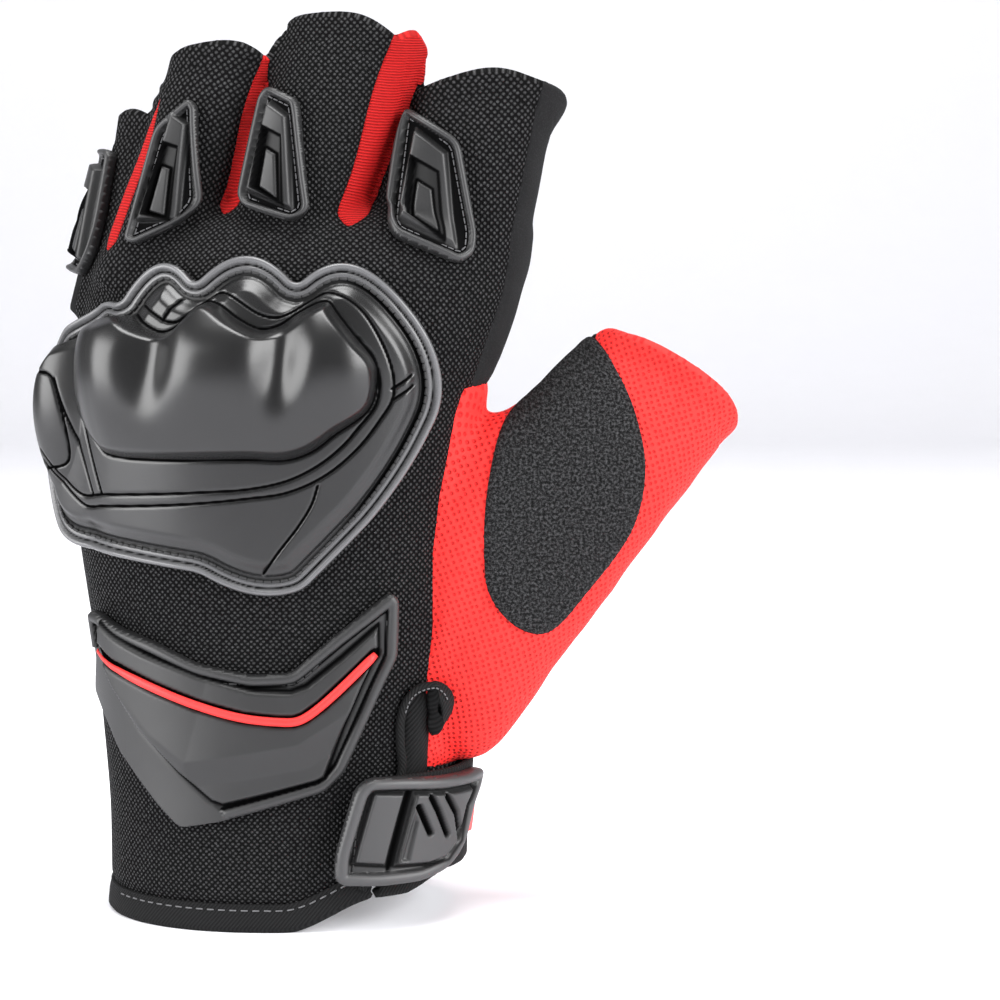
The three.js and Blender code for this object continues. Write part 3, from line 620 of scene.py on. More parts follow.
class Ground:
    """A patch of the glove's form as a smooth grid over two flat coordinates, a and b."""

    def __init__(self, a, b, points, outwards):
        self.a, self.b, self.points = a, b, points
        across = np.gradient(points, axis=0)
        along = np.gradient(points, axis=1)
        normals = normalized(np.cross(across, along))
        facing = np.einsum("ijk,ijk->ij", normals, outwards).sum()
        self.normals = normals * np.sign(facing)
        self.flipped = facing < 0

    def at(self, ab, lift=0.0):
        """The points over flat places ab, at a height over the form, and the normals there."""
        i = np.clip((ab[:, 0] - self.a[0]) / (self.a[1] - self.a[0]), 0, len(self.a) - 1.001)
        j = np.clip((ab[:, 1] - self.b[0]) / (self.b[1] - self.b[0]), 0, len(self.b) - 1.001)
        i0, j0 = i.astype(int), j.astype(int)
        u, v = (i - i0)[:, None], (j - j0)[:, None]

        def read(grid):
            low = mix(grid[i0, j0], grid[i0 + 1, j0], u)
            high = mix(grid[i0, j0 + 1], grid[i0 + 1, j0 + 1], u)
            return mix(low, high, v)
        normals = normalized(read(self.normals))
        return read(self.points) + normals * np.reshape(lift, (-1, 1)), normals


def on_ground(ground, line, height):
    return ground.at(np.asarray(line, float), height)


def spans(low, high, step):
    return np.linspace(low, high, int(round((high - low) / step)) + 1)


def cast_ground(a, b, rays, smoothing=1.6):
    """A ground from rays that fall on the form: rays(a, b) gives their starts and directions."""
    grid_a, grid_b = np.meshgrid(a, b, indexing="ij")
    starts, directions = rays(grid_a, grid_b)
    depth = np.full(grid_a.shape, np.nan)
    for place in np.ndindex(grid_a.shape):
        hit = form_tree.ray_cast(starts[place], directions[place], 200)
        if hit[3] is not None:
            depth[place] = hit[3]
    while np.isnan(depth).any():
        around = np.pad(depth, 1, constant_values=np.nan)
        near = np.stack([around[2:, 1:-1], around[:-2, 1:-1], around[1:-1, 2:], around[1:-1, :-2]])
        known = ~np.isnan(near)
        mean = np.where(known, near, 0).sum(0) / np.maximum(known.sum(0), 1)
        depth = np.where(np.isnan(depth) & known.any(0), mean, depth)
    for _ in range(int(2 * (smoothing / (a[1] - a[0])) ** 2)):
        wide = np.pad(depth, 1, mode="edge")
        depth = (wide[2:, 1:-1] + wide[:-2, 1:-1] + wide[1:-1, 2:] + wide[1:-1, :-2] + 2 * depth) / 6
    return Ground(a, b, starts + directions * depth[..., None], -directions)


FAN_X, FAN_Y, FAN_RADIUS = -30, 2, 17  # beyond this x, flat distance runs round the little-finger edge


def back_rays(a, b):
    """Rays on to the back of the hand; past FAN_X they turn round its little-finger edge."""
    turn = np.maximum(0, FAN_X - a) / FAN_RADIUS
    directions = np.stack([np.sin(turn), np.cos(turn), np.zeros_like(a)], -1)
    foot = np.stack([np.maximum(a, FAN_X), np.full_like(a, FAN_Y), b], -1)
    return foot - directions * 90, directions


def palm_rays(a, b):
    directions = np.zeros(a.shape + (3,))
    directions[..., 1] = -1
    return np.stack([a, np.full_like(a, 90), b], -1), directions


def thumb_rays(a, b):
    directions = np.zeros(a.shape + (3,))
    directions[..., 1] = 1
    return np.stack([a, np.full_like(a, -90), b], -1), directions


def stall_rays(stall, turn=0.0):
    """Rays square to a stall's back, turned round its length towards the little finger's side."""
    inwards = stall.palm * math.cos(turn) + stall.across * math.sin(turn)
    across = stall.across * math.cos(turn) - stall.palm * math.sin(turn)

    def rays(a, b):
        starts = stall.origin + a[..., None] * across + b[..., None] * stall.along - 50 * inwards
        return starts, np.broadcast_to(inwards, starts.shape)
    return rays


def relief(name, ground, outline, shape, material, bulge=0.0, steps=3):
    """A solid laid over a ground inside a closed outline. shape(ab, inside) gives its underside's and its
    top's heights over the form and the marks for its material."""
    grid_a, grid_b = np.meshgrid(ground.a, ground.b, indexing="ij")
    ab = np.stack([grid_a.ravel(), grid_b.ravel()], -1)
    inside = inward(ab, outline)
    low, high, marks = shape(ab, inside)
    top, _ = ground.at(ab, high)
    bottom, _ = ground.at(ab, low)
    columns = [np.broadcast_to(value, len(ab)) for value in marks.values()]
    rows = np.column_stack([top, bottom, ab, *columns])
    rows_count, cols_count = grid_a.shape
    index = np.arange(len(ab)).reshape(rows_count, cols_count)
    a, b = index[:-1, :-1].ravel(), index[1:, :-1].ravel()
    c, d = index[1:, 1:].ravel(), index[:-1, 1:].ravel()
    triangles = np.vstack([np.stack([a, b, c], -1), np.stack([a, c, d], -1)])
    if ground.flipped:
        triangles = triangles[:, ::-1]
    rows, triangles = clip(rows, triangles, inside)
    points, faces, owner = closed_wall(rows[:, :3], rows[:, 3:6], triangles, bulge, steps)
    values = {key: rows[owner, 8 + i] for i, key in enumerate(marks)}
    obj = make_object(name, points, faces, rows[owner, 6:8], values)
    obj.data.materials.append(material)
    return obj


PAD_TOP = -1.9  # a foam pad's upper side lies against the inside of the wall
PAD_EDGE = 5  # width of a foam pad's thinning edge


def foam_shape(fat):
    """A foam pad under the wall, as thick as fat except near its edge."""
    def shape(ab, inside):
        return PAD_TOP - fat * np.sqrt(np.clip(inside / PAD_EDGE, 0, 1)), PAD_TOP + 0 * inside, {}
    return shape


def smooth_closed(points, count=120):
    return curve_through(points, count, closed=True)


def corner_arcs(corners, radius, steps=5):
    """A closed outline of straight sides with rounded corners."""
    corners = np.asarray(corners, float)
    points = []
    for before, here, after in zip(np.roll(corners, 1, axis=0), corners, np.roll(corners, -1, axis=0)):
        back, ahead = before - here, after - here
        reach = min(radius, 0.45 * np.linalg.norm(back), 0.45 * np.linalg.norm(ahead))
        start = here + normalized(back) * reach
        end = here + normalized(ahead) * reach
        for t in np.linspace(0, 1, steps):
            points.append(start * (1 - t) ** 2 + here * 2 * t * (1 - t) + end * t * t)
    return np.array(points)


def bezier(*controls, count=14):
    """A Bezier curve's points, without the last."""
    t = np.linspace(0, 1, count, endpoint=False)[:, None]
    rows = [np.broadcast_to(np.asarray(p, float), (count, 2)) for p in controls]
    while len(rows) > 1:
        rows = [mix(p, q, t) for p, q in zip(rows[:-1], rows[1:])]
    return rows[0]


def drawn_in(outline, distance):
    """A closed outline moved inwards."""
    outline = np.asarray(outline, float)
    along = normalized(np.roll(outline, -1, axis=0) - np.roll(outline, 1, axis=0))
    area = np.sum(outline[:, 0] * np.roll(outline[:, 1], -1) - outline[:, 1] * np.roll(outline[:, 0], -1))
    inwards = np.stack([-along[:, 1], along[:, 0]], -1) * np.sign(area)
    moved = outline + inwards * distance
    return moved[inward(moved, outline) > distance * 0.8]


def softened(outline, reach, pitch=0.8):
    """A closed outline with every corner rounded by averaging it over a reach."""
    points, _ = spaced(np.vstack([outline, outline[:1]]), pitch)
    window = round(reach / pitch)
    return np.mean([np.roll(points, k, axis=0) for k in range(-window, window + 1)], axis=0)


def capsule(start, end, radius, normal, sides=6):
    """A stitch: a short rod with rounded ends, pressed a little flat along normal."""
    along = normalized(end - start)
    side = normalized(np.cross(along, normal))
    up = np.cross(side, along)
    angle = np.linspace(0, 2 * math.pi, sides, endpoint=False)[:, None]
    round_section = (np.cos(angle) * side + np.sin(angle) * up * 0.8) * radius
    cap = along * radius * 0.5
    places = [(start - cap, 0.45), (start, 1.0), (end, 1.0), (end + cap, 0.45)]
    return np.stack([place + round_section * size for place, size in places])


def stitches(name, lines, material, pitch=2.1, share=0.72, radius=0.24):
    """Rows of stitches. Each line is its points and the surface's normals there."""
    all_points, all_faces, start = [], [], 0
    for points, normals in lines:
        middles, along = spaced(points, pitch)
        if len(middles) == 0:
            continue
        tree = KDTree(len(points))
        for i, p in enumerate(points):
            tree.insert(p, i)
        tree.balance()
        for middle, direction in zip(middles, along):
            normal = normals[tree.find(middle)[1]]
            half = direction * pitch * share / 2
            made, faces = loft(capsule(middle - half, middle + half, radius, normal))
            all_points.append(made)
            all_faces += [tuple(i + start for i in face) for face in faces]
            start += len(made)
    obj = make_object(name, np.vstack(all_points), all_faces)
    obj.data.materials.append(material)
    return obj


def tube(name, path, radius, material, normals=None, flat=1.0, sides=12):
    """A cord-like piece along a path. flat below 1 presses it along the normals."""
    path = np.asarray(path, float)
    along = normalized(np.gradient(path, axis=0))
    if normals is None:
        normals = np.broadcast_to([0, -1, 0], path.shape)
    side = normalized(np.cross(along, normals))
    up = np.cross(side, along)
    angle = np.linspace(0, 2 * math.pi, sides, endpoint=False)[None, :, None]
    radius = np.broadcast_to(radius, len(path))[:, None, None]
    rows = path[:, None] + (np.cos(angle) * side[:, None] + np.sin(angle) * up[:, None] * flat) * radius
    points, faces = loft(rows)
    reach = np.concatenate([[0], np.cumsum(np.linalg.norm(np.diff(path, axis=0), axis=1))])
    round_about = np.linspace(0, 6, sides, endpoint=False)
    uv = np.stack(np.broadcast_arrays(round_about[None, :], reach[:, None]), -1).reshape(-1, 2)
    uv = np.vstack([uv, uv[:1], uv[-1:]])
    obj = make_object(name, points, faces, uv)
    obj.data.materials.append(material)
    return obj


# ---- seams ----

def hem_height(points):
    """The cuff's lower edge: low over most of it, and rising towards the thumb's side."""
    return 0.8 + 6.6 * ease(2, 22, points[:, 0]) + 2.4 * ease(27, 35, points[:, 0])


GUSSET_SEAM = np.array([  # height and x of the red panel's seam on the back
    [30, 60], [31, 44], [32, 32.4], [50, 32.2], [62, 33.4], [78, 33.6], [89, 35], [98, 36.9], [106, 38.4],
    [111, 40], [115, 43.5], [120, 47], [126, 50],
], float)
PALM_SEAM_LOW, PALM_SEAM_HIGH = (18, 27), (62, 101)  # the red panel's seam on the palm [x, z]
PANEL_FOOT = 31.5  # height at which the red panel ends, just over the strap
THUMB_PANEL_X = 38  # the palm's seam with the thumb's suede
THUMB_CORNER = (68, 125)  # the crotch side of the thumb's opening [x, z]


def palm_seam_x(z):
    (x0, z0), (x1, z1) = PALM_SEAM_LOW, PALM_SEAM_HIGH
    return x0 + (z - z0) * (x1 - x0) / (z1 - z0)


def thumb_seam(points):
    """Above zero on the thumb's panels."""
    x, y, z = points.T
    back = x - np.interp(z, *GUSSET_SEAM.T)
    palm = np.maximum(x - palm_seam_x(z), np.minimum(x - THUMB_PANEL_X, (z - 50) * 0.7))
    palm = np.minimum(palm, z - PANEL_FOOT)
    own = mix(back, palm, ease(3, 11, y))
    index_side = (x - 52) * 0.914 - (z - 118) * 0.4
    return np.minimum(own, np.where(z > 112, index_side, 40))


def red_seam(points):
    """Above zero on the thumb's mesh panel, within the thumb's panels."""
    x, y, z = points.T
    return np.maximum(7 - y, x - palm_seam_x(z))


def fourchette_seam(i):
    """Above zero on the side strip between finger i and the next one towards the little finger."""
    here, beyond = stalls[NAMES[i]], stalls[NAMES[i + 1]]
    crotch = CROTCHES[i][1]

    def field(points):
        strip = np.minimum(here.side(points, -1), beyond.side(points, 1))
        closing = 0.3 * np.maximum(0, STRIP_ENDS[i] + 3.2 - points[:, 2]) ** 2
        above = points[:, 2] - (crotch - 12)
        return np.minimum(strip - closing, above)
    return field


def stall_shares(points):
    """How much each point belongs to each finger's stall: nearly all of it to the nearest wall's."""
    gaps = np.array([stall.gap(points) for stall in stalls.values()])
    weights = np.exp((gaps.min(axis=0) - gaps) / CREASE)
    return weights / weights.sum(axis=0)


def past_openings(points):
    """How far points lie outside the glove's openings; below zero inside the glove."""
    result = np.zeros(len(points))
    for share, (name, stall) in zip(stall_shares(points), stalls.items()):
        past = stall.past_opening(points)
        side, rise, on_back = RAISED_EDGES[name]
        if on_back:
            past = past - rise * ease(0, 4, stall.side(points, side))
        else:
            on_palm = ease(-1, 4, stall.local(points)[1])
            past = past - rise * ease(-4, 2, stall.side(points, side)) * on_palm
        result += share * past
    result = np.minimum(result, points[:, 2] - CROTCH_TOP)
    on_thumb = thumb_seam(points) > -2
    corner = np.hypot(points[:, 0] - THUMB_CORNER[0], points[:, 2] - THUMB_CORNER[1])
    tip = 2.2 * np.exp(-(corner / 3.5) ** 2) * (points[:, 1] > 0)
    result[on_thumb] = (past_thumb_rim(points) - tip)[on_thumb]
    return np.maximum(result, hem_height(points) - points[:, 2])


def back_seam(points):
    """Above zero on the knit back, outside the thumb's panels and the side strips."""
    x, y, z = points.T
    at_index = np.minimum(np.interp(z, HAND[:, 0], HAND[:, 2]) - INDEX_SLIVER - x, -y)
    on_hand = mix(SIDE_SEAM_Y - y, at_index, ease(90, 106, z) * (x > 0))
    on_finger = np.zeros(len(points))
    for share, (name, stall) in zip(stall_shares(points), stalls.items()):
        _, v, _ = stall.local(points)
        outer = {"index": 1, "little": -1}.get(name)
        on_finger += share * (-v if outer is None else np.minimum(-v, -stall.side(points, outer)))
    return mix(on_hand, on_finger, ease(130, 147, z))


SLIT_X, SLIT_TOP = 29.5, 49.5
SLIT_FOOT_X = 20.5  # under the strap the slit slants to the hem


def slit_middle(z):
    return np.interp(z, [6, 32], [SLIT_FOOT_X, SLIT_X])


def slit_seam(points):
    """Above zero outside the wrist's slit."""
    x, y, z = points.T
    half = mix(0.9, 2.0, ease(28, 34, z))
    straight = np.abs(x - slit_middle(z)) - half
    arch = np.hypot(x - SLIT_X, z - SLIT_TOP + 2) - 2.0
    return np.where(y > 0, 30, np.where(z > SLIT_TOP - 2, arch, straight))


# ---- materials ----

class Shader:
    """A small helper for a material's nodes: node() makes one, sets its inputs and returns its outputs."""

    def __init__(self, name):
        self.material = bpy.data.materials.new(name)
        self.material.use_nodes = True
        self.tree = self.material.node_tree
        self.tree.nodes.clear()

    def node(self, kind, inputs=None, **settings):
        made = self.tree.nodes.new("ShaderNode" + kind)
        for key, value in settings.items():
            setattr(made, key, value)
        for key, value in (inputs or {}).items():
            socket = made.inputs[key]
            if isinstance(value, bpy.types.NodeSocket):
                self.tree.links.new(value, socket)
            else:
                socket.default_value = value
        return made.outputs

    def math(self, operation, *values):
        return self.node("Math", dict(enumerate(values)), operation=operation)[0]

    def between(self, value, low, high, to_low=0.0, to_high=1.0):
        """value from low to high, read smoothly as to_low to to_high."""
        inputs = {"Value": value, "From Min": low, "From Max": high, "To Min": to_low, "To Max": to_high}
        return self.node("MapRange", inputs, interpolation_type="SMOOTHSTEP")[0]

    def mix(self, share, a, b):
        inputs = {0: share, 6: a, 7: b}
        return self.node("Mix", inputs, data_type="RGBA")[2]

    def mark(self, name):
        return self.node("Attribute", attribute_name=name)["Fac"]

    def uv(self, turn=0.0, scale=1.0):
        """The cloth's own coordinates, in millimetres times scale, turned by an angle."""
        uv = self.node("UVMap")[0]
        inputs = {"Vector": uv, "Rotation": (0, 0, turn), "Scale": (scale, scale, scale)}
        return self.node("Mapping", inputs)[0]

    def noise(self, vector, scale, detail=3.0, roughness=0.55):
        inputs = {"Vector": vector, "Scale": scale, "Detail": detail, "Roughness": roughness}
        return self.node("TexNoise", inputs)[0]

    def cells(self, vector, randomness):
        """Distance from the middle of the nearest cell of a slightly uneven grid."""
        return self.node("TexVoronoi", {"Vector": vector, "Scale": 1.0, "Randomness": randomness},
                         voronoi_dimensions="2D")["Distance"]

    def bump(self, height, strength, distance):
        return self.node("Bump", {"Height": height, "Strength": strength, "Distance": distance})[0]

    def finish(self, **inputs):
        """Ends the material in a principled surface, whose input Base Color is base_color here."""
        titles = {key: key.replace("_", " ").title().replace("Ior", "IOR") for key in inputs}
        surface = self.node("BsdfPrincipled", {titles[key]: value for key, value in inputs.items()})[0]
        self.node("OutputMaterial", {"Surface": surface})
        return self.material


def grey(value):
    return (value, value, value * 1.04, 1)


KNIT_CELL, MESH_CELL = 0.96, 1.27  # size of the knit's loops and of the air mesh's holes


def knit_material():
    s = Shader("knit")
    loops = s.cells(s.uv(math.radians(45), 1 / KNIT_CELL), 0.22)
    bead = s.between(loops, 0.52, 0.12)
    patches = s.noise(s.uv(), 0.5)
    # painted highlight: the tops of the raised loops are painted lighter, in patches
    shine = s.math("MULTIPLY", bead, s.between(patches, 0.35, 0.7, 0.5, 1.0))
    colour = s.mix(shine, grey(0.003), grey(0.034))
    height = s.math("ADD", bead, s.math("MULTIPLY", s.noise(s.uv(), 4.0), 0.3))
    return s.finish(base_color=colour, roughness=s.between(bead, 0, 1, 0.9, 0.6),
                    normal=s.bump(height, 1.0, 0.0006), specular_ior_level=s.between(bead, 0, 1, 0.05, 0.3))


def mesh_material():
    s = Shader("mesh")
    cells = s.cells(s.uv(math.radians(45), 1 / MESH_CELL), 0.28)
    hole_and_shade = s.between(cells, 0.36, 0.12)
    loose = s.noise(s.uv(), 0.35, 4.0)
    # painted shade: the holes are painted a darker red
    colour = s.mix(hole_and_shade, (0.86, 0.022, 0.018, 1), (0.46, 0.006, 0.006, 1))
    colour = s.mix(s.between(loose, 0.4, 0.75, 0.0, 0.35), colour, (0.62, 0.012, 0.012, 1))
    height = s.math("SUBTRACT", s.math("MULTIPLY", loose, 0.6), hole_and_shade)
    return s.finish(base_color=colour, roughness=0.75, normal=s.bump(height, 0.8, 0.0006),
                    specular_ior_level=0.3)


def rib_material():
    s = Shader("rib")
    waves = {"Vector": s.uv(), "Scale": 0.52, "Distortion": 0.6, "Detail": 1.0, "Detail Scale": 1.5}
    rows = s.node("TexWave", waves, wave_type="BANDS", bands_direction="Y")["Fac"]
    colour = s.mix(rows, (0.24, 0.004, 0.004, 1), (0.5, 0.010, 0.010, 1))
    return s.finish(base_color=colour, roughness=0.7, normal=s.bump(rows, 0.8, 0.0004),
                    specular_ior_level=0.15)


def suede_material():
    s = Shader("suede")
    nap = s.noise(s.uv(), 2.6, 5.0, 0.7)
    patches = s.noise(s.uv(), 0.16, 3.0)
    colour = s.mix(patches, grey(0.006), grey(0.014))
    colour = s.mix(s.between(nap, 0.45, 0.8, 0.0, 0.5), colour, grey(0.035))
    return s.finish(base_color=colour, roughness=0.92, normal=s.bump(nap, 0.5, 0.0004),
                    specular_ior_level=0.12)


def moulded_material(name, dark, light, roughness, bead):
    """Moulded plastic: engraved lines and other recesses are painted black, a painted shade, and the bead
    round its edge is painted light, its own grey together with a painted highlight along its crest.
    """
    s = Shader(name)
    cloud = s.noise(s.uv(), 0.12, 3.0)
    grain = s.noise(s.uv(), 9.0, 2.0)
    colour = s.mix(cloud, grey(dark), grey(light))
    # painted highlight: the bead mark paints the bead light grey
    colour = s.mix(s.mark("bead"), colour, grey(bead))
    # painted shade: recesses under the line mark are painted near-black
    colour = s.mix(s.mark("line"), colour, grey(0.0015))
    rough = s.between(grain, 0.3, 0.7, roughness - 0.05, roughness + 0.07)
    rough = s.math("MAXIMUM", rough, s.mark("line"))
    shine = s.between(s.mark("line"), 0.2, 0.8, 0.5, 0.0)
    return s.finish(base_color=colour, roughness=rough, normal=s.bump(grain, 0.12, 0.0001),
                    specular_ior_level=shine)


def tape_material():
    s = Shader("tape")
    twill = s.node("TexWave", {"Vector": s.uv(math.radians(38)), "Scale": 0.5, "Distortion": 0.3},
                   wave_type="BANDS")["Fac"]
    colour = s.mix(twill, grey(0.003), grey(0.010))
    return s.finish(base_color=colour, roughness=0.8, normal=s.bump(twill, 0.5, 0.0002),
                    specular_ior_level=0.16)


def terry_material():
    s = Shader("terry")
    loops = s.noise(s.uv(), 1.7, 4.0, 0.75)
    colour = s.mix(s.between(loops, 0.42, 0.72), grey(0.003), grey(0.075))
    return s.finish(base_color=colour, roughness=0.95, normal=s.bump(loops, 1.0, 0.0007),
                    specular_ior_level=0.15)


def foam_material():
    s = Shader("foam")
    pores = s.cells(s.uv(scale=1.4), 1.0)
    colour = s.mix(pores, grey(0.03), grey(0.09))
    return s.finish(base_color=colour, roughness=0.95, normal=s.bump(pores, 0.6, 0.0004))


def inlay_material():
    s = Shader("inlay")
    grain = s.noise(s.uv(), 3.0, 3.0)
    colour = s.mix(grain, (0.55, 0.012, 0.012, 1), (0.8, 0.024, 0.02, 1))
    return s.finish(base_color=colour, roughness=0.5, normal=s.bump(grain, 0.25, 0.0002))


def thread_material(name, value):
    s = Shader(name)
    twist = s.noise(s.node("TexCoord")["Object"], 900.0, 2.0)
    colour = s.mix(twist, grey(value * 0.6), grey(value))
    return s.finish(base_color=colour, roughness=0.7, normal=s.bump(twist, 0.4, 0.0001))


KNIT = knit_material()
MESH = mesh_material()
RIB = rib_material()
SUEDE = suede_material()
MOULDED = moulded_material("moulded", 0.005, 0.009, 0.27, 0.1)
RUBBER = moulded_material("rubber", 0.007, 0.012, 0.45, 0.022)
STRAP_RUBBER = moulded_material("strap_rubber", 0.011, 0.017, 0.45, 0.05)
TAPE = tape_material()
TERRY = terry_material()
FOAM = foam_material()
INLAY = inlay_material()
PALE_THREAD = thread_material("pale_thread", 0.55)
DARK_THREAD = thread_material("dark_thread", 0.02)
DIM_THREAD = thread_material("dim_thread", 0.12)


# ---- the skin's panels ----


def with_fingers(obj):
    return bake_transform(obj)


def with_thumb(obj):
    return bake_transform(obj)


def knit_fold(points):
    return 0.35 * noise_at(points, (26, 26, 20), 1)


def mesh_fold(points):
    """Soft folds that fan out from the wrist's slit over the thumb."""
    slanted = np.stack([points[:, 0] * 0.5 + points[:, 2] * 0.85, points[:, 1], points[:, 2] * 0.5
                        - points[:, 0] * 0.85], -1)
    return 0.8 * noise_at(slanted, (38, 22, 11), 3) + 0.3 * noise_at(points, 7, 4)


def suede_fold(points):
    return 0.5 * noise_at(points, (30, 30, 14), 5) + 0.25 * noise_at(points, 9, 6)


def skin_panels():
    _, body = split((form_rows, form_triangles), past_openings)
    cuff, body = split(body, lambda p: hem_height(p) + 5.0 - p[:, 2])
    cuff, _ = split(cuff, slit_seam)
    cuff_binding = panel("cuff_binding_tape", cuff, TAPE, wall=2.0, lift=0.5, tuck=0.2, hem=0.5)
    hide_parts("cuff_binding")
    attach(cuff_binding, "hand")
    for i, pair in enumerate(["index_middle", "middle_ring", "ring_little"]):
        strip, body = split(body, fourchette_seam(i))
        piece = panel("side_strip_" + pair, strip, RIB, tuck=0.4, fold=lambda p: 0.3 * noise_at(p, 6, i))
        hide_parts("fourchette_" + pair)
        with_fingers(piece)
    thumb, body = split(body, thumb_seam)
    red, suede = split(thumb, red_seam)
    piece = panel("thumb_mesh", red, MESH, fold=mesh_fold)
    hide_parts("thumb_gusset", "thumb_back")
    with_thumb(piece)
    edge, suede = split(suede, lambda p: past_thumb_rim(p) + 3)
    piece = panel("thumb_rim_tape", edge, TAPE, wall=1.6, lift=0.4, tuck=0.2)
    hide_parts("thumb_binding")
    with_thumb(piece)
    piece = panel("thumb_suede", suede, SUEDE, fold=suede_fold)
    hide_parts("thumb_palm")
    with_thumb(piece)
    back, palm = split(body, back_seam)
    back, _ = split(back, slit_seam)
    piece = panel("knit_back", back, KNIT, fold=knit_fold)
    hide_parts("back_panel", "index_back", "middle_back", "ring_back", "little_back")
    with_fingers(piece)
    piece = panel("suede_palm", palm, SUEDE, fold=suede_fold)
    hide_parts("palm_panel", "index_palm", "middle_palm", "ring_palm", "little_palm")
    with_fingers(piece)


form_rows, form_triangles = glove_form()
form_tree = BVHTree.FromPolygons(form_rows[:, :3].tolist(), form_triangles.tolist())
skin = Skin()
skin_panels()


# ---- the knuckle guard ----

KNUCKLE_LINES = {  # engraved lines: flat places along them, on the back of the hand
    "crest": [(-27.2, 128.9), (-24.8, 128.6), (-18.8, 125.1), (-16.4, 125.1), (-10.2, 130.5), (-7.9, 131),
              (-0.4, 126.7), (3.3, 126.3), (10.4, 130.5), (12.8, 131.2), (18.9, 127.9), (24.2, 118),
              (24.7, 111.2), (21.9, 106), (17.6, 100.3), (11.4, 95), (4.2, 91.7), (-3.4, 90.5),
              (-13.9, 89.3), (-32.1, 87.9), (-38, 87.6), (-43.5, 90.7), (-50, 97)],
    "second": [(18.2, 122.6), (21.9, 116.5), (21.6, 110), (17.6, 104.2), (14.7, 100.8), (10, 97),
               (4.2, 94.1), (-3.4, 92.4), (-12, 91.7), (-32, 90.3), (-39, 89.8), (-44, 92.5), (-50, 99)],
    "diagonal": [(10.2, 93.1), (9, 89.3), (6.5, 85), (2.2, 79.2), (-0.6, 75)],
    "tie_high": [(24.5, 112.6), (28.4, 115.3)],
    "tie_low": [(24.3, 110.2), (28.6, 113.2)],
    "band_left": [(-44.5, 112.5), (-35.2, 90)],
    "band_right": [(-38.6, 107.6), (-32.6, 90.2)],
    "notch": [(-16.5, 129.6), (-19.5, 125.2)],
    "box": [(-50, 113.6), (-45, 112.6), (-42.6, 97), (-50, 95)],
    "little_high": [(-49, 125), (-40, 124.2), (-36.2, 122.6)],
    "little_low": [(-50, 122.5), (-42, 122), (-37.5, 120.3)],
}
CLUSTER = [(-28.1, 127.3), (-26.4, 126.9), (-21.8, 123.7), (-19.4, 123), (-16.6, 124.1), (-11.3, 129.3),
           (-8.5, 128.6), (-4.8, 126), (-0.5, 124), (3.2, 124.8), (7, 127.4), (10.8, 129.3),
           (12.7, 129.3), (14.6, 126.9), (18.3, 122.2), (21.1, 118.9), (21.8, 115.6), (20.1, 108.5),
           (13.5, 103.3), (9.2, 100), (4.4, 98.3), (-3.2, 98.4), (-30.6, 98.6), (-32.5, 100),
           (-36.4, 105.7), (-38.6, 111), (-38.9, 116), (-36.6, 121.3), (-32.1, 125.6)]
SHELL_RIDGE = 117  # height of the line along which the knuckle domes stand highest
SHELL_ABOVE, SHELL_BELOW = 14.5, 21  # how far their slopes reach over and under it
SHELL_ENDS = (-27, 14)  # past these the outer domes fall away, over SHELL_FALL
SHELL_FALL = 12.5
DOME_HEIGHT = 7.0
VALLEYS = (4.2, -18.5)  # the valleys between the domes cross the guard here
VALLEY_HALF, VALLEY_DEPTH, VALLEY_LEAN = 4.2, 0.6, 0.12
LITTLE_DOME = ((-49, 112), 11, 3.6)  # middle, half width and how far it stands out
LINE_HALF, LINE_DEPTH = 0.27, 0.45  # the engraved lines
BEAD = 1.6  # width of the bead round the guard
LEDGE = 2.9  # where the ledge inside the bead ends and the stitched channel begins
WRAP = (-37, -51, 2.6)  # from here to here the guard is thickened, where it turns round the hand


def knuckle_outline():
    return softened(np.vstack([
        bezier((-36.8, 128.6), (-33.6, 130.2), (-29.5, 128.5)),
        bezier((-29.5, 128.5), (-21, 143), (-13.8, 132.6)),
        bezier((-13.8, 132.6), (-3.3, 144), (6.3, 132.6)),
        bezier((6.3, 132.6), (17, 143.4), (28.8, 128.1)),
        bezier((28.8, 128.1), (34.5, 121), (36.5, 112), (32.1, 103.8)),
        bezier((32.1, 103.8), (28, 94.5), (20.3, 85.1)),
        bezier((20.3, 85.1), (14, 78.4), (7.4, 71.6), count=6),
        bezier((7.4, 71.6), (-1.9, 67.6), (-13.5, 74.9)),
        bezier((-13.5, 74.9), (-26, 76.5), (-39, 78.2), count=6),
        bezier((-39, 78.2), (-53, 78.5), (-56, 90)),
        bezier((-56, 90), (-60, 103), (-60, 115), (-51, 123)),
        bezier((-51, 123), (-44, 125.5), (-36.8, 128.6), count=6),
    ]), 1.6)


def engraved(ab, lines):
    """How deep into engraved lines flat places lie, from 0 to 1."""
    depth = np.zeros(len(ab))
    for line in lines:
        low, high = np.min(line, axis=0) - 2, np.max(line, axis=0) + 2
        near = np.all((ab > low) & (ab < high), axis=1)
        smooth = curve_through(line, 8 * len(line)) if len(line) > 2 else np.array(line, float)
        depth[near] = np.maximum(depth[near], np.exp(-(line_distance(ab[near], smooth) / LINE_HALF) ** 2))
    return depth


def wrap_height(a):
    start, end, height = WRAP
    return height * ease(start, end, a)


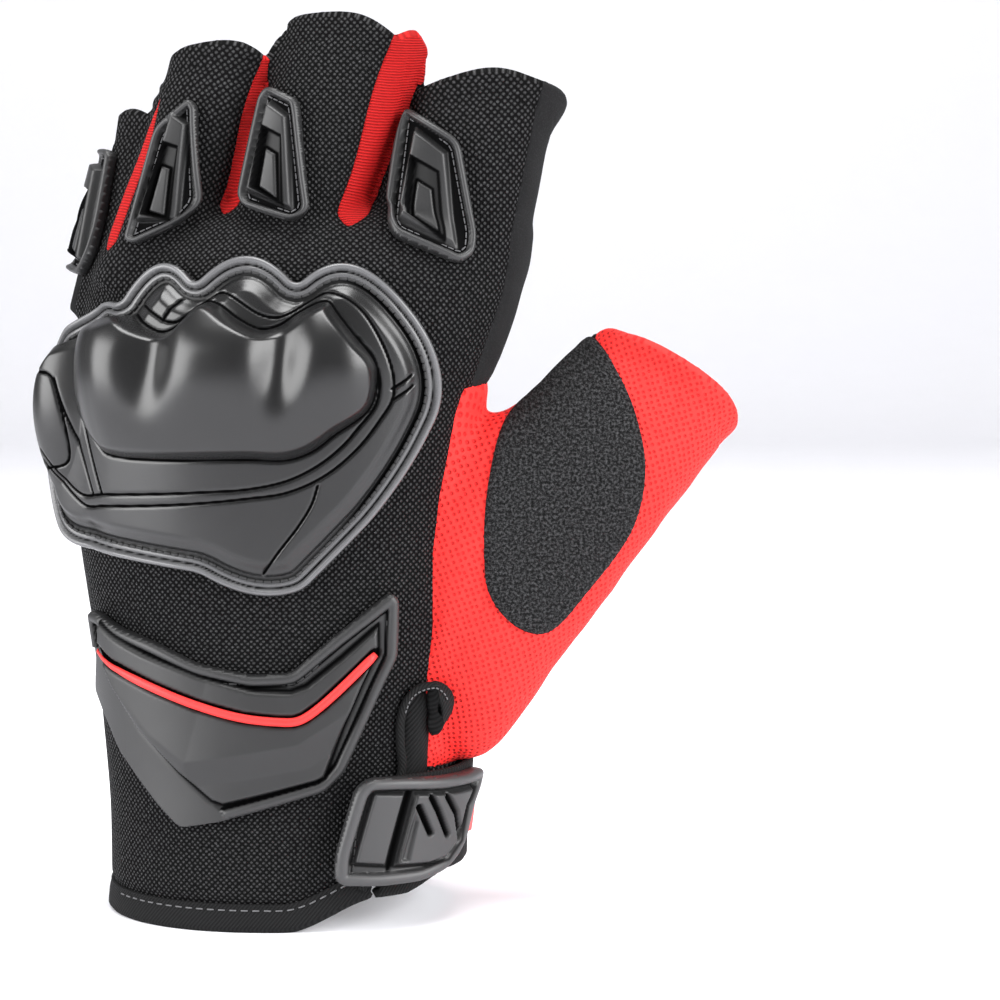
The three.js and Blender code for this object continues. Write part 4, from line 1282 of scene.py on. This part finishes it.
def knuckle_shape(ab, inside):
    a, b = ab.T
    cluster = inward(ab, curve_through(CLUSTER, 160, closed=True))
    rise = b - SHELL_RIDGE
    upright = np.abs(rise) / np.where(rise > 0, SHELL_ABOVE, SHELL_BELOW)
    sideways = (np.maximum(a - SHELL_ENDS[1], 0) + np.maximum(SHELL_ENDS[0] - a, 0)) / SHELL_FALL
    shell = DOME_HEIGHT * np.cos(np.minimum(np.hypot(upright, sideways), 1) * math.pi / 2)
    for valley in VALLEYS:
        middle = valley + VALLEY_LEAN * (b - 125)
        shell = shell * (1 - VALLEY_DEPTH * np.exp(-((a - middle) / VALLEY_HALF) ** 2) * ease(99, 119, b))
    shell = shell * ease(-0.2, 2.6, cluster)
    (little_a, little_b), half, height = LITTLE_DOME
    tall = np.where(b > little_b, SHELL_ABOVE, SHELL_BELOW)
    reach = np.hypot((a - little_a) / half, (b - little_b) / tall)
    little = height * np.cos(np.minimum(reach, 1) * math.pi / 2)
    shelf = 1.5 * ease(4.4, 7.5, inside) + 1.3 * ease(-0.3, 1.6, cluster)
    body = 2.3 + shelf + np.maximum(shell, little)
    bead = 1.7 + 1.2 * round_ridge(inside, 0.78, 0.78)
    ledge = 1.9 + 0.3 * round_ridge(inside, 2.25, 0.6)
    high = np.where(inside < BEAD, bead, np.where(inside < LEDGE, ledge, 1.6))
    high = mix(high, body, ease(3.7, 4.8, inside))
    lines = engraved(ab, KNUCKLE_LINES.values())
    lines = np.maximum(lines, np.exp(-(np.abs(cluster) / LINE_HALF) ** 2))
    lines = lines * ease(3.8, 4.4, inside)
    gutter = np.exp(-((inside - 1.62) / 0.22) ** 2)
    channel = ease(2.7, 2.95, inside) * ease(4.2, 3.6, inside)
    # painted shade: the stitched channel is marked dark, less so towards the little finger's side
    dark = channel * mix(0.45, 1.0, ease(12, 24, a))
    high = high - LINE_DEPTH * lines - 0.3 * gutter + wrap_height(a)
    # painted highlight: the bead and the ledge inside it are marked light
    ledge_mark = 0.75 * ease(1.7, 1.9, inside) * ease(2.85, 2.6, inside)
    bead_mark = np.where(inside < 1.55, ease(0.05, 0.4, inside), ledge_mark)
    # the line mark paints the engraved lines, the gutter and the channel near-black as painted shade
    return 0.2, high, {"bead": bead_mark, "line": np.clip(1.5 * lines + 0.9 * gutter + dark, 0, 1)}


def knuckle_guard():
    ground = cast_ground(spans(-64, 40, 0.32), spans(64, 144, 0.32), back_rays)
    outline = knuckle_outline()
    guard = relief("knuckle_shell", ground, outline, knuckle_shape, MOULDED, bulge=0.15)
    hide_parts("knuckle_guard")
    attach(guard, "hand")
    row = drawn_in(outline, 2.95)
    height = 1.9 + wrap_height(row[:, 0])
    line = on_ground(ground, row, height)
    seams = stitches("knuckle_stitches", [line], DARK_THREAD, pitch=1.7, radius=0.36)
    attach(seams, "hand")
    lining = smooth_closed([(-36, 120), (0, 128), (27, 120), (26, 100), (2, 78), (-36, 84)])
    pad = relief("knuckle_pad", ground, lining, foam_shape(2.4), FOAM)
    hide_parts("knuckle_foam")
    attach(pad, "hand")


# ---- the wrist guard ----

WRIST_OUTLINE = [(-44.5, 64.6), (-38.7, 64.2), (-23.6, 59.8), (-14.3, 55.8), (-3.5, 53.8), (4.5, 54.2),
                 (13.7, 62), (24.5, 70.5), (25.9, 69), (25.5, 57.3), (22.2, 50.3), (14.9, 33.5),
                 (11.2, 29.7), (-9.9, 23.4), (-18, 21.6), (-22.6, 26), (-34.8, 40.7), (-41, 45),
                 (-46, 47.5), (-42, 54.6)]
WRIST_PANEL = [(-36.7, 63.1), (-24.6, 57.7), (-13.6, 53.7), (-2.6, 51), (4.5, 50.8), (7.6, 51.9),
               (14.7, 57.7), (22, 64.2), (22, 58.6), (18.8, 51.9), (15, 43), (11.2, 32.6), (9.6, 31.7),
               (-9.1, 26.7), (-11.5, 27.6), (-17.9, 33), (-25.8, 41.2), (-33.5, 53), (-36.9, 57.3)]
WRIST_CREASE = [(-33.4, 53.2), (-23, 40.9), (-16, 35.7), (5.8, 39.8), (16, 46.7)]
BELOW_CREASE = [(11.2, 30), (-9.1, 24), (-20, 30), (-36, 50)]  # closes the facet under the crease
WRIST_STRIPE = [(-36.1, 57.2), (-31.2, 54.6), (-22.4, 50.8), (-13.6, 47.6), (-4.8, 45.4), (1.8, 44.7),
                (5.1, 44.7), (7.1, 45.4), (10.7, 48.1), (21, 58.1)]
STRIPE_HALF = 0.9
CREASE_RISE, SLOPE_BELOW, SLOPE_ABOVE = 2.2, 0.32, 0.09  # the panel's facets fall away from the crease
WRIST_BEAD = 1.1  # half width of the bead


def wrist_shape(ab, inside):
    panel_inside = inward(ab, np.array(WRIST_PANEL))
    below = inward(ab, np.array(WRIST_CREASE + BELOW_CREASE))
    crease = line_distance(ab, WRIST_CREASE)
    facets = CREASE_RISE - np.where(below > 0, SLOPE_BELOW, SLOPE_ABOVE) * crease
    raised = 2.2 + np.maximum(facets, 0.5)
    left_wing = ab[:, 0] < -21 - (ab[:, 1] - 40) * 0.8
    framed = ~left_wing | (ab[:, 1] > 57)
    ridge = np.where(framed, round_ridge(inside, WRIST_BEAD, WRIST_BEAD), 0)
    bead = np.where(framed, 1.9 + ridge, 2.1)
    high = np.where(inside < 2 * WRIST_BEAD, bead, np.where(framed, 1.7, 2.1))
    high = mix(high, raised, ease(0.0, 0.7, panel_inside))
    edge = np.exp(-(panel_inside / 0.45) ** 2)
    groove = 1 - ease(STRIPE_HALF, STRIPE_HALF + 0.6, line_distance(ab, WRIST_STRIPE))
    gutter = np.where(framed, np.exp(-((inside - 2.3) / 0.3) ** 2), 0) * ease(0.5, -0.5, panel_inside)
    high = high - 0.3 * edge - 0.8 * groove
    # painted highlight along the bead's crest, and painted shade along the raised panel's edge, in the
    # stripe's groove and in the gutter
    return 0.2, high, {"bead": ridge * 0.7, "line": np.clip(0.9 * edge + groove + gutter, 0, 1)}


def wrist_guard():
    ground = cast_ground(spans(-52, 30, FINE), spans(16, 76, FINE), back_rays)
    outline = corner_arcs(WRIST_OUTLINE, 1.2, 3)
    guard = relief("wrist_plate", ground, outline, wrist_shape, RUBBER, bulge=0.1)
    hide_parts("wrist_guard")
    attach(guard, "hand")
    path = curve_through(WRIST_STRIPE, 90)
    points, normals = on_ground(ground, path, 0.0)
    _, base, _ = wrist_shape(path, inward(path, np.array(WRIST_OUTLINE)))
    path_points = points + normals * (base + 0.75)[:, None]
    taper = 0.35 + 0.65 * ease(-36.5, -24, path[:, 0]) * ease(23, 19.5, path[:, 0])
    stripe = tube("wrist_stripe", path_points, STRIPE_HALF * taper, INLAY, normals, flat=0.75)
    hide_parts("wrist_guard_stripe")
    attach(stripe, "hand")
    upper = [(-35, 60.9), (-24, 56), (-13, 52.2), (-2.5, 52.4), (5.5, 52.5), (13.5, 59.6), (22.6, 66.5)]
    right = [(23.6, 65), (23.6, 58), (20.4, 51), (13.2, 32.6), (10.8, 30.9), (-9.5, 25.2)]
    rows = [on_ground(ground, curve_through(upper, 80), 1.95),
            on_ground(ground, curve_through(right, 70), 1.95)]
    seams = stitches("wrist_stitches", rows, DARK_THREAD, 2.0, radius=0.28)
    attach(seams, "hand")


# ---- the finger guards ----

FINGER_GUARDS = {  # outlines [u, w] in their stall's own axes, and their four corners from bottom left
    "index": ([(-13.8, 23.6), (-2.7, 20), (5.1, 3.2), (5.7, -2), (3.4, -4.4), (-10.4, -2.8), (-12.5, -0.6),
               (-14.6, 21.2)],
              [(-12.8, -3), (5.8, -4.6), (-2, 20), (-14.6, 23.6)]),
    "middle": ([(-10.4, 25), (-3.9, 24.2), (-2.7, 22), (5.7, 3.9), (3.6, 0.3), (-7.2, 0.3), (-8.7, 2.2),
                (-11.6, 22.5)],
               [(-8.8, 0.3), (5.8, 0.3), (-3, 24.4), (-11.6, 25)]),
    "ring": ([(-0.7, 26.7), (1.2, 25.7), (8.2, 7.5), (6.6, 2.2), (-0.7, -5.2), (-3, -5), (-5.2, 18.6)],
             [(-3.2, -5.4), (8, 0.5), (2.4, 26.4), (-5, 26)]),
    "little": ([(-5.4, 19), (2.6, 19.6), (5.6, -3), (3.4, -7.5), (-5.4, -7.5), (-7, -3)],
               [(-6.6, -7.5), (5, -7.5), (2.6, 19.6), (-5.4, 19)]),
}
GUARD_TURN = {"little": math.radians(28)}  # how far a guard is turned round its finger
GUARD_BEAD = 0.65  # half width of the bead
# figures on the guard, as shares across and up its four corners
GUARD_WEDGE = [(0.14, 0.12), (0.85, 0.1), (0.74, 0.84), (0.24, 0.9)]
GUARD_WINDOW = [(0.25, 0.17), (0.7, 0.12), (0.62, 0.66), (0.27, 0.68)]
GUARD_PLATE = [(0.32, 0.19), (0.62, 0.15), (0.54, 0.5), (0.34, 0.52)]


def within_corners(shares, corners):
    """Flat places at shares across and up a figure with four corners."""
    bottom_left, bottom_right, top_right, top_left = np.asarray(corners, float)
    s, t = np.asarray(shares, float).T[..., None]
    return mix(mix(bottom_left, bottom_right, s), mix(top_left, top_right, s), t)


def finger_guard_shape(corners):
    wedge_outline = within_corners(GUARD_WEDGE, corners)
    window_outline = within_corners(GUARD_WINDOW, corners)
    plate_outline = within_corners(GUARD_PLATE, corners)
    ridge_line = within_corners([(0.14, 0.12), (0.24, 0.9)], corners)

    def shape(ab, inside):
        wedge = inward(ab, wedge_outline)
        window = inward(ab, window_outline)
        plate = inward(ab, plate_outline)
        from_ridge = line_distance(ab, ridge_line)
        ridge = round_ridge(inside, GUARD_BEAD, GUARD_BEAD)
        high = np.where(inside < 2 * GUARD_BEAD, 2.0 + 0.9 * ridge, 1.4)
        high = mix(high, 3.9 - 0.16 * from_ridge, ease(-0.1, 0.9, wedge))
        high = mix(high, 1.5 + 0.12 * from_ridge, ease(-0.1, 0.4, window))
        high = mix(high, 2.7, ease(-0.1, 0.4, plate))
        # painted shade: the edges of the window and the plate, the window's floor and the channel are
        # marked dark
        edges = np.exp(-(window / 0.35) ** 2) + 0.8 * np.exp(-(plate / 0.3) ** 2)
        floor = ease(0, 0.4, window) * ease(0.2, -0.2, plate)
        channel = ease(1.25, 1.5, inside) * ease(0.3, -0.3, wedge)
        dark = np.clip(edges * 0.8 + 0.75 * channel + 0.5 * floor, 0, 1)
        # painted highlight along the bead's crest
        return 0.2, high, {"bead": ridge * 0.8, "line": dark}
    return shape


def finger_guards():
    for name, (corners, four) in FINGER_GUARDS.items():
        stall = stalls[name]
        low, high = np.min(corners, axis=0) - 1, np.max(corners, axis=0) + 1
        rays = stall_rays(stall, GUARD_TURN.get(name, 0))
        ground = cast_ground(spans(low[0], high[0], 0.25), spans(low[1], high[1], 0.25), rays, 1.2)
        outline = corner_arcs(corners, 2.2)
        guard = relief("finger_plate_" + name, ground, outline, finger_guard_shape(four), RUBBER, bulge=0.1)
        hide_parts("guard_" + name)
        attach(guard, "fingers")
        row = drawn_in(outline, 1.9)
        line = on_ground(ground, row, 1.6)
        seams = stitches("finger_stitches_" + name, [line], DIM_THREAD, 1.5, radius=0.16)
        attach(seams, "fingers")


# ---- the thumb's patch ----

TERRY_OUTLINE = [(67, 121.4), (72.5, 113.5), (76, 104.5), (77.6, 94), (75, 82), (66, 69.5), (57, 60.6),
                 (51, 62), (45.2, 69), (44, 78), (45, 93), (48.5, 104.6), (56, 112), (62.5, 118.5)]


def terry_shape(ab, inside):
    flat = np.column_stack([ab, np.zeros(len(ab))])
    loops = 0.16 * noise_at(flat, 1.1, 7) + 0.12 * noise_at(flat, 0.6, 8)
    high = 0.35 + 0.75 * np.sqrt(np.clip(inside / 1.4, 0, 1)) + loops * ease(0.6, 1.4, inside)
    return -0.4, high, {}


def terry_patch():
    ground = cast_ground(spans(42, 80, FINE), spans(58, 124, FINE), thumb_rays)
    patch = relief("thumb_terry", ground, smooth_closed(TERRY_OUTLINE), terry_shape, TERRY)
    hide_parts("thumb_terry_patch")
    with_thumb(patch)


# ---- the palm ----

PALM_STITCHES = [
    [(49.9, 117), (46.6, 114.5), (37.5, 112), (28.8, 109.2), (26, 104.2), (26.8, 99.7), (30.5, 94.3)],
    [(46, 141), (38.3, 139), (35, 136.4), (27.6, 135.5), (23.1, 138), (20, 143.5), (15, 144), (11.9, 143),
     (7, 140.5), (1.6, 139.7), (-2.1, 141.3), (-5, 144.5)],
    [(-12.8, 142.6), (-15.7, 136.4), (-19.8, 131.8), (-23.9, 131.4), (-28, 134.3), (-29.8, 138),
     (-35, 139), (-38, 136), (-38.7, 129.8), (-37.1, 122), (-33, 117.4), (-33, 112.9), (-37.1, 104.2),
     (-39.5, 96)],
    [(-37.1, 127.3), (-8.7, 128.5), (16.9, 129.4), (24.7, 128.5), (29.3, 124.8), (30.1, 119.5),
     (26, 112.9), (14.4, 107.1), (1.6, 98.9), (-7.4, 89.8), (-13.6, 79.5), (-16.9, 69.2), (-17.7, 60.2),
     (-15.2, 53.1), (-9.9, 49.9), (-0.8, 49.9), (5.4, 56.4), (11.9, 63.4)],
    [(-39, 96.4), (-31.7, 104.2), (-23.9, 112.9), (-15.2, 119.5), (-3.3, 124), (5.4, 124.8),
     (11.9, 122.8), (14.4, 118.2), (10.7, 111.7), (-0.8, 105.5), (-15.2, 96.4), (-23.9, 89.8),
     (-29.3, 83.6), (-33, 73.3), (-33, 60.2), (-31.3, 47.4), (-28.4, 39.6), (-29.3, 35), (-32.5, 33.8),
     (-35, 37.1), (-36, 47.4)],
    [(-0.8, 50.7), (-4.9, 48.2), (-12.4, 48.2), (-19, 52.3), (-22.2, 63), (-20.2, 73.3), (-15.2, 80.8),
     (-15.2, 84.9), (-19, 86.9), (-25.5, 85.3), (-31.3, 78.3), (-35.5, 69.2), (-35.5, 56.4), (-33.8, 46.1)],
]
PALM_PADS = {
    "palm_pad_thumb": [(14, 52), (30, 56), (36, 74), (30, 92), (19, 96), (12, 84), (10, 66)],
    "palm_pad_heel": [(-30, 26), (-6, 24), (4, 32), (2, 48), (-12, 56), (-28, 52), (-34, 38)],
    "palm_pad_outer": [(-36, 66), (-22, 62), (-12, 70), (-14, 92), (-22, 108), (-34, 104), (-38, 84)],
}


def laid_on_skin(line, palm, gap=0.12):
    """A flat line [x, z] dropped on the panels from the palm's side or the back's, just off the surface."""
    points, normals = [], []
    for x, z in line:
        start = Vector((x, 90 if palm else -90, z))
        place, normal, _, _ = skin_tree.ray_cast(start, Vector((0, -1 if palm else 1, 0)), 200)
        if place is not None and abs(normal.y) > 0.25:
            points.append(np.array(place) + np.array(normal) * gap)
            normals.append(np.array(normal))
    return np.array(points), np.array(normals)


def palm_details():
    lines = [laid_on_skin(curve_through(line, 200), palm=True) for line in PALM_STITCHES]
    seams = stitches("palm_stitches", lines, PALE_THREAD, pitch=1.5, share=0.62, radius=0.2)
    with_fingers(seams)
    ground = cast_ground(spans(-42, 40, 1.0), spans(20, 112, 1.0), palm_rays)
    for name, outline in PALM_PADS.items():
        cushion = name.replace("palm_pad", "palm_cushion")
        pad = relief(cushion, ground, smooth_closed(outline, 60), foam_shape(2.6), FOAM)
        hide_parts(name)
        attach(pad, "hand")


# ---- the strap ----

def strap_ground(low, high, step):
    """The hand's form round the cuff. a is the length round it from the thumb's edge, below zero on the
    back, from low to high in cells of step."""
    angle = np.linspace(-math.pi * 0.75, math.pi * 0.75, 900)
    ring = hand_point(angle, np.full(900, 21.0))
    steps = np.concatenate([[0], np.cumsum(np.linalg.norm(np.diff(ring, axis=0), axis=1))])
    reach = steps - np.interp(0, angle, steps)
    a = spans(low, high, step)
    b = spans(6, 36, step)
    grid_angle, grid_z = np.meshgrid(np.interp(a, reach, angle), b, indexing="ij")
    points = hand_point(grid_angle, grid_z)
    outwards = points - np.array([0, 0, 1]) * points[..., 2:] - np.array([0, -1, 0])
    ground = Ground(a, b, points, outwards)
    back = angle < 0

    def back_a(x):
        return np.interp(x, ring[back][:, 0], reach[back])

    def palm_a(x):
        return np.interp(-x, -ring[~back][:, 0], reach[~back])
    return ground, back_a, palm_a


BAND_BASE, BAND_TOP = 1.9, 3.7  # the strap's band over the hand's form
FACE_BEAD = 1.2  # half width of the bead on the strap's moulded faces


def band_shape(ab, inside):
    soft = 0.12 * noise_at(np.column_stack([ab, 0 * inside]), 9, 11)
    return BAND_BASE + soft, BAND_TOP + soft - 0.5 * (1 - ease(0, 0.8, inside)), {}


def slots_of(lines, ab, half):
    return np.max([1 - ease(half * 0.7, half * 1.3, line_distance(ab, line)) for line in lines], axis=0)


def face_shape(raised_outlines, slots, seam, dip=None):
    """The moulded face: a bead round it, a stitched channel, raised panels and slanted slots."""
    def shape(ab, inside):
        raised = np.max([inward(ab, np.array(outline)) for outline in raised_outlines], axis=0)
        ridge = round_ridge(inside, FACE_BEAD, FACE_BEAD)
        high = np.where(inside < 2 * FACE_BEAD, 2.0 + ridge, 1.2)
        high = mix(high, 2.7, ease(-0.1, 0.7, raised))
        cut = slots_of(slots, ab, 0.6) * ease(0, 0.6, raised)
        line = np.exp(-(line_distance(ab, seam) / 0.4) ** 2) * ease(2.4, 3, inside)
        edge = np.exp(-((raised + 0.3) / 0.45) ** 2)
        hollow = 0 * inside if dip is None else ease(0, 0.8, inward(ab, np.array(dip)))
        high = high - 1.2 * cut - 0.5 * line - 0.7 * hollow
        # painted highlight on the bead's crest and the raised panels, taken off in the hollow as painted
        # shade
        pale = np.clip(0.7 * ridge + 0.35 * ease(0.3, 1, raised) - 0.5 * hollow, 0, 1)
        # painted shade: the slots, the stitched line and the foot of the raised panels are marked dark
        dark = np.clip(cut + line + 0.7 * edge, 0, 1)
        return BAND_TOP - 0.2, BAND_TOP + high, {"bead": pale, "line": dark}
    return shape


def strap_pieces():
    ground, back_a, palm_a = strap_ground(-44, 62, FINE)
    fine_ground, _, _ = strap_ground(-40, 2, 0.25)
    left_low, left_high, tip = back_a(14.7), back_a(21), palm_a(-5)
    outline = corner_arcs([
        (left_low + 1.5, 12.2), (left_high, 32), (0, 32.3), (palm_a(10), 32), (palm_a(0), 30.5),
        (tip, 25.5), (tip, 16), (palm_a(0), 11.8), (palm_a(10), 10.4), (0, 10.2)], 3)
    band = relief("strap_webbing", ground, outline, band_shape, TAPE, bulge=0.3)
    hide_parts("strap_band")
    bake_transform(band)

    outline = [(-37.8, 12.2), (-37.7, 16.8), (-34.4, 30.5), (-32, 32.6), (-26, 32.4), (-18.2, 31.6),
               (-7, 31.2), (-4.2, 30.8), (-5.4, 27.6), (-8.2, 24.4), (-10.4, 17.4), (-12.3, 14.6),
               (-15.6, 11.9), (-21, 10.4), (-29.7, 10.4), (-36.4, 11)]
    left_panel = [(-31.4, 29.9), (-25.2, 29.3), (-28.4, 14.3), (-34.7, 15.2)]
    right_panel = [(-23.4, 29.1), (-17.9, 28.4), (-8.6, 28.0), (-11, 24.4), (-12.8, 17.4), (-16.0, 14.2),
                   (-20, 13.6), (-26.5, 14.1)]
    slots = [[(-22.6, 26.0), (-20.0, 20.2)], [(-20.1, 27.7), (-18.6, 24.8), (-16.2, 19.3)],
             [(-16.6, 27.4), (-14.2, 23.4), (-12.9, 18.0)]]
    dark_band = [(-23.4, 25.8), (-22.3, 23.2), (-23.9, 14.6), (-26.0, 14.9)]
    shape = face_shape([left_panel, right_panel], slots, [(-24.1, 30.4), (-27.9, 12.5)], dark_band)
    face = relief("strap_plate", fine_ground, corner_arcs(outline, 1.6), shape, STRAP_RUBBER, bulge=0.1)
    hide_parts("strap_face")
    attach(face, "strap")
    upper = [(-34.6, 13.4), (-32.2, 30.8), (-26, 30.6), (-18, 29.8), (-9, 29.4)]
    lower = [(-34.6, 13.2), (-29, 12.8), (-21, 12.4), (-16.4, 13.2)]
    lines = [on_ground(ground, curve_through(line, 60), BAND_TOP + 1.35) for line in (upper, lower)]
    seams = stitches("strap_stitches", lines, DARK_THREAD, 1.7, radius=0.24)
    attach(seams, "strap")

    def tag_shape(ab, inside):
        return BAND_TOP - 0.3, BAND_TOP + 0.3 + 0.9 * ease(0, 0.6, inside), {}
    tag_outline = np.array([(-8.4, 17.4), (-4.4, 16.6), (0.6, 24.4), (-3.0, 25.6)])
    tag = relief("strap_label", fine_ground, tag_outline, tag_shape, INLAY)
    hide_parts("strap_tag")
    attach(tag, "strap")

    edge = [(palm_a(31), 31.2), (palm_a(10), 31.2), (palm_a(1), 29.8), (tip - 1, 25), (tip - 1, 16.6),
            (palm_a(1), 12.8), (palm_a(10), 11.6), (palm_a(31), 11.6)]
    inner = [(palm_a(28), 28), (palm_a(10), 28), (palm_a(1.5), 26.5), (palm_a(-1), 23.5), (palm_a(-1), 18),
             (palm_a(1.5), 15.5), (palm_a(10), 14.6), (palm_a(28), 14.6)]
    cuts = [[(palm_a(25 - 5 * i), 26), (palm_a(22 - 5 * i), 17)] for i in range(3)]
    divide = [(palm_a(9), 28), (palm_a(9), 14.6)]
    shape = face_shape([inner], cuts, divide)
    tab = relief("strap_end_plate", ground, corner_arcs(edge, 2), shape, STRAP_RUBBER, bulge=0.1)
    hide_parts("strap_tab")
    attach(tab, "strap_end")

    def fur(low, high, seed):
        def shape(ab, inside):
            loops = 0.12 * noise_at(np.column_stack([ab, 0 * inside]), 0.9, seed)
            return low, high + loops * ease(0, 1, inside), {}
        return shape
    left, right = palm_a(22), palm_a(-1)
    patch = corner_arcs([(left, 13), (left, 30), (right, 28), (right, 15)], 1.5)
    hook = relief("strap_hooks", ground, patch, fur(1.25, BAND_BASE, 12), TERRY)
    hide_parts("hook_patch")
    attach(hook, "strap_end")
    left, right = palm_a(27), palm_a(-16)
    patch = corner_arcs([(left, 11.5), (left, 31.5), (right, 31.5), (right, 11.5)], 2)
    loops = relief("cuff_loops", ground, patch, fur(-0.4, 1.0, 13), TERRY)
    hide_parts("loop_patch")
    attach(loops, "hand")


# ---- the slit, its tongue and the pull loop ----

def slit_pieces():
    ground = cast_ground(spans(18, 40, FINE), spans(4, 58, FINE), thumb_rays, 1.0)

    def tongue_shape(ab, inside):
        swell = np.sqrt(np.clip(inside / 2.2, 0, 1))
        return -2.6, -1.0 + 1.5 * swell, {"bead": 0 * inside, "line": 0 * inside}
    tongue_outline = np.vstack([
        bezier((32.6, 31), (33.0, 38), (33.2, 43), count=6), bezier((33.2, 43), (34.0, 48.4), (31.3, 48.8)),
        bezier((31.3, 48.8), (27.8, 48), (27.7, 42)), bezier((27.7, 42), (27.2, 30), (18.5, 8), count=10),
        bezier((18.5, 8), (22.5, 8), (32.6, 31), count=8)])
    tongue = relief("slit_tongue", ground, tongue_outline, tongue_shape, TAPE)
    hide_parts("wrist_gusset")
    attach(tongue, "hand")

    piping = curve_through([(18.6, 8.5), (24.4, 26), (26.6, 33.2), (26.3, 38.8), (26.5, 44.0), (27.6, 47.2),
                            (30.0, 49.8), (32.6, 50.4), (34.6, 50)], 90)
    points, normals = on_ground(ground, piping, 0.75)
    rise = 1.6 * ease(29, 34, piping[:, 0])
    points = points + normals * rise[:, None]
    edge = tube("slit_piping", points, 0.95, TAPE, normals)
    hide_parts("slit_binding")
    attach(edge, "hand")

    def loop_shape(ab, inside):
        eye = np.hypot((ab[:, 0] - 33.9) / 0.75, (ab[:, 1] - 46.0) / 1.0)
        high = 1.2 + 3.0 * np.sqrt(np.clip(inside / 1.8, 0, 1)) - 2.6 * ease(1.5, 0.8, eye)
        return 0.3, high, {}
    loop_outline = smooth_closed([
        (32.9, 50.9), (35.4, 50.6), (37.3, 48.6), (37.5, 45.8), (36.4, 43.3), (34.4, 41.2),
        (32.6, 39.6), (32.0, 42.0), (32.2, 44.5), (31.9, 47.5)])
    loop = relief("rolled_loop", ground, loop_outline, loop_shape, TAPE, bulge=0.2)
    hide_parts("pull_loop")
    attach(loop, "hand")
    arch = curve_through([(26.9, 45), (28.2, 48), (30.4, 50), (33, 50.4), (35.6, 49.8), (36.9, 47.8)], 60)
    line, normals = on_ground(ground, arch, 3.6)
    line = line - normals * (1.9 * ease(34, 30, line[:, 0]))[:, None]
    seams = stitches("slit_stitches", [(line, normals)], DIM_THREAD, pitch=1.0, share=0.5, radius=0.15)
    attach(seams, "hand")


def hem_stitches():
    """The stitched line over the cuff's bound edge, on both sides. On the back it stops at the slit."""
    x = np.linspace(-33, 33, 160)
    line = np.column_stack([x, hem_height(x[:, None]) + 3.9])
    off_slit = np.abs(x - SLIT_FOOT_X) > 2.5
    lines = []
    for palm in (False, True):
        row = line if palm else line[off_slit]
        lines += [laid_on_skin(row[row[:, 0] < 20], palm), laid_on_skin(row[row[:, 0] > 20], palm)]
    seams = stitches("cuff_stitches", lines, DIM_THREAD, pitch=2.4, share=0.55, radius=0.16)
    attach(seams, "hand")


knuckle_guard()
wrist_guard()
finger_guards()
terry_patch()
skin_tree = skin.tree()
palm_details()
hem_stitches()
strap_pieces()
slit_pieces()


# ---- the studio ----

CAMERA_AT = (0.0473, -0.547, 0.1448)
CAMERA_DOWN = math.radians(6)
FRAME_WIDTH, FRAME_DISTANCE = 0.212, 0.55


def studio():
    camera = bpy.data.cameras.new("camera")
    camera.lens = 36 * FRAME_DISTANCE / FRAME_WIDTH
    camera_object = bpy.data.objects.new("camera", camera)
    camera_object.location = CAMERA_AT
    camera_object.rotation_euler = (math.radians(90) - CAMERA_DOWN, 0, 0)
    bpy.context.scene.collection.objects.link(camera_object)
    bpy.context.scene.camera = camera_object

    lamps = {  # place, aim, size and strength
        "left": ((-0.95, -0.5, 0.4), (0, 0, 0.1), 0.8, 18),
        "right": ((0.95, -0.55, 0.5), (0.02, 0, 0.1), 0.8, 22),
        "top": ((0.0, -0.1, 1.1), (0, 0, 0.1), 0.6, 14),
    }
    for name, (place, aim, size, strength) in lamps.items():
        lamp = bpy.data.lights.new(name, "AREA")
        lamp.size = size
        lamp.energy = strength
        lamp_object = bpy.data.objects.new(name, lamp)
        lamp_object.location = place
        lamp_object.rotation_euler = (Vector(aim) - Vector(place)).to_track_quat("-Z", "Y").to_euler()
        bpy.context.scene.collection.objects.link(lamp_object)

    world = bpy.data.worlds.new("studio")
    world.use_nodes = True
    world.node_tree.nodes["Background"].inputs[0].default_value = (1, 1, 1, 1)
    world.node_tree.nodes["Background"].inputs[1].default_value = 0.3
    bpy.context.scene.world = world
    bpy.context.scene.view_settings.view_transform = "Standard"

    s = Shader("floor")
    speckle = s.noise(s.node("TexCoord")["Object"], 40.0)
    floor_material = s.finish(base_color=s.mix(speckle, grey(0.93), grey(0.96)), roughness=0.8)
    angle = np.linspace(0, math.pi / 2, 13)
    sweep = [(1.2 + 0.6 * math.sin(a), 0.6 - 0.6 * math.cos(a)) for a in angle]
    profile = [(-3.0, 0.0)] + sweep + [(1.8, 3.0)]
    points = [(x / MM, y / MM, z / MM) for x in (-3, 3) for y, z in profile]
    n = len(profile)
    faces = [(i, i + n, i + n + 1, i + 1) for i in range(n - 1)]
    floor = make_object("floor", points, faces)
    floor.data.materials.append(floor_material)
    floor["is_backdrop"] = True


studio()

boxes = {"cad": cad_box, "visual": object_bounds()}
{name: [list(low), list(high)] for name, (low, high) in boxes.items()}
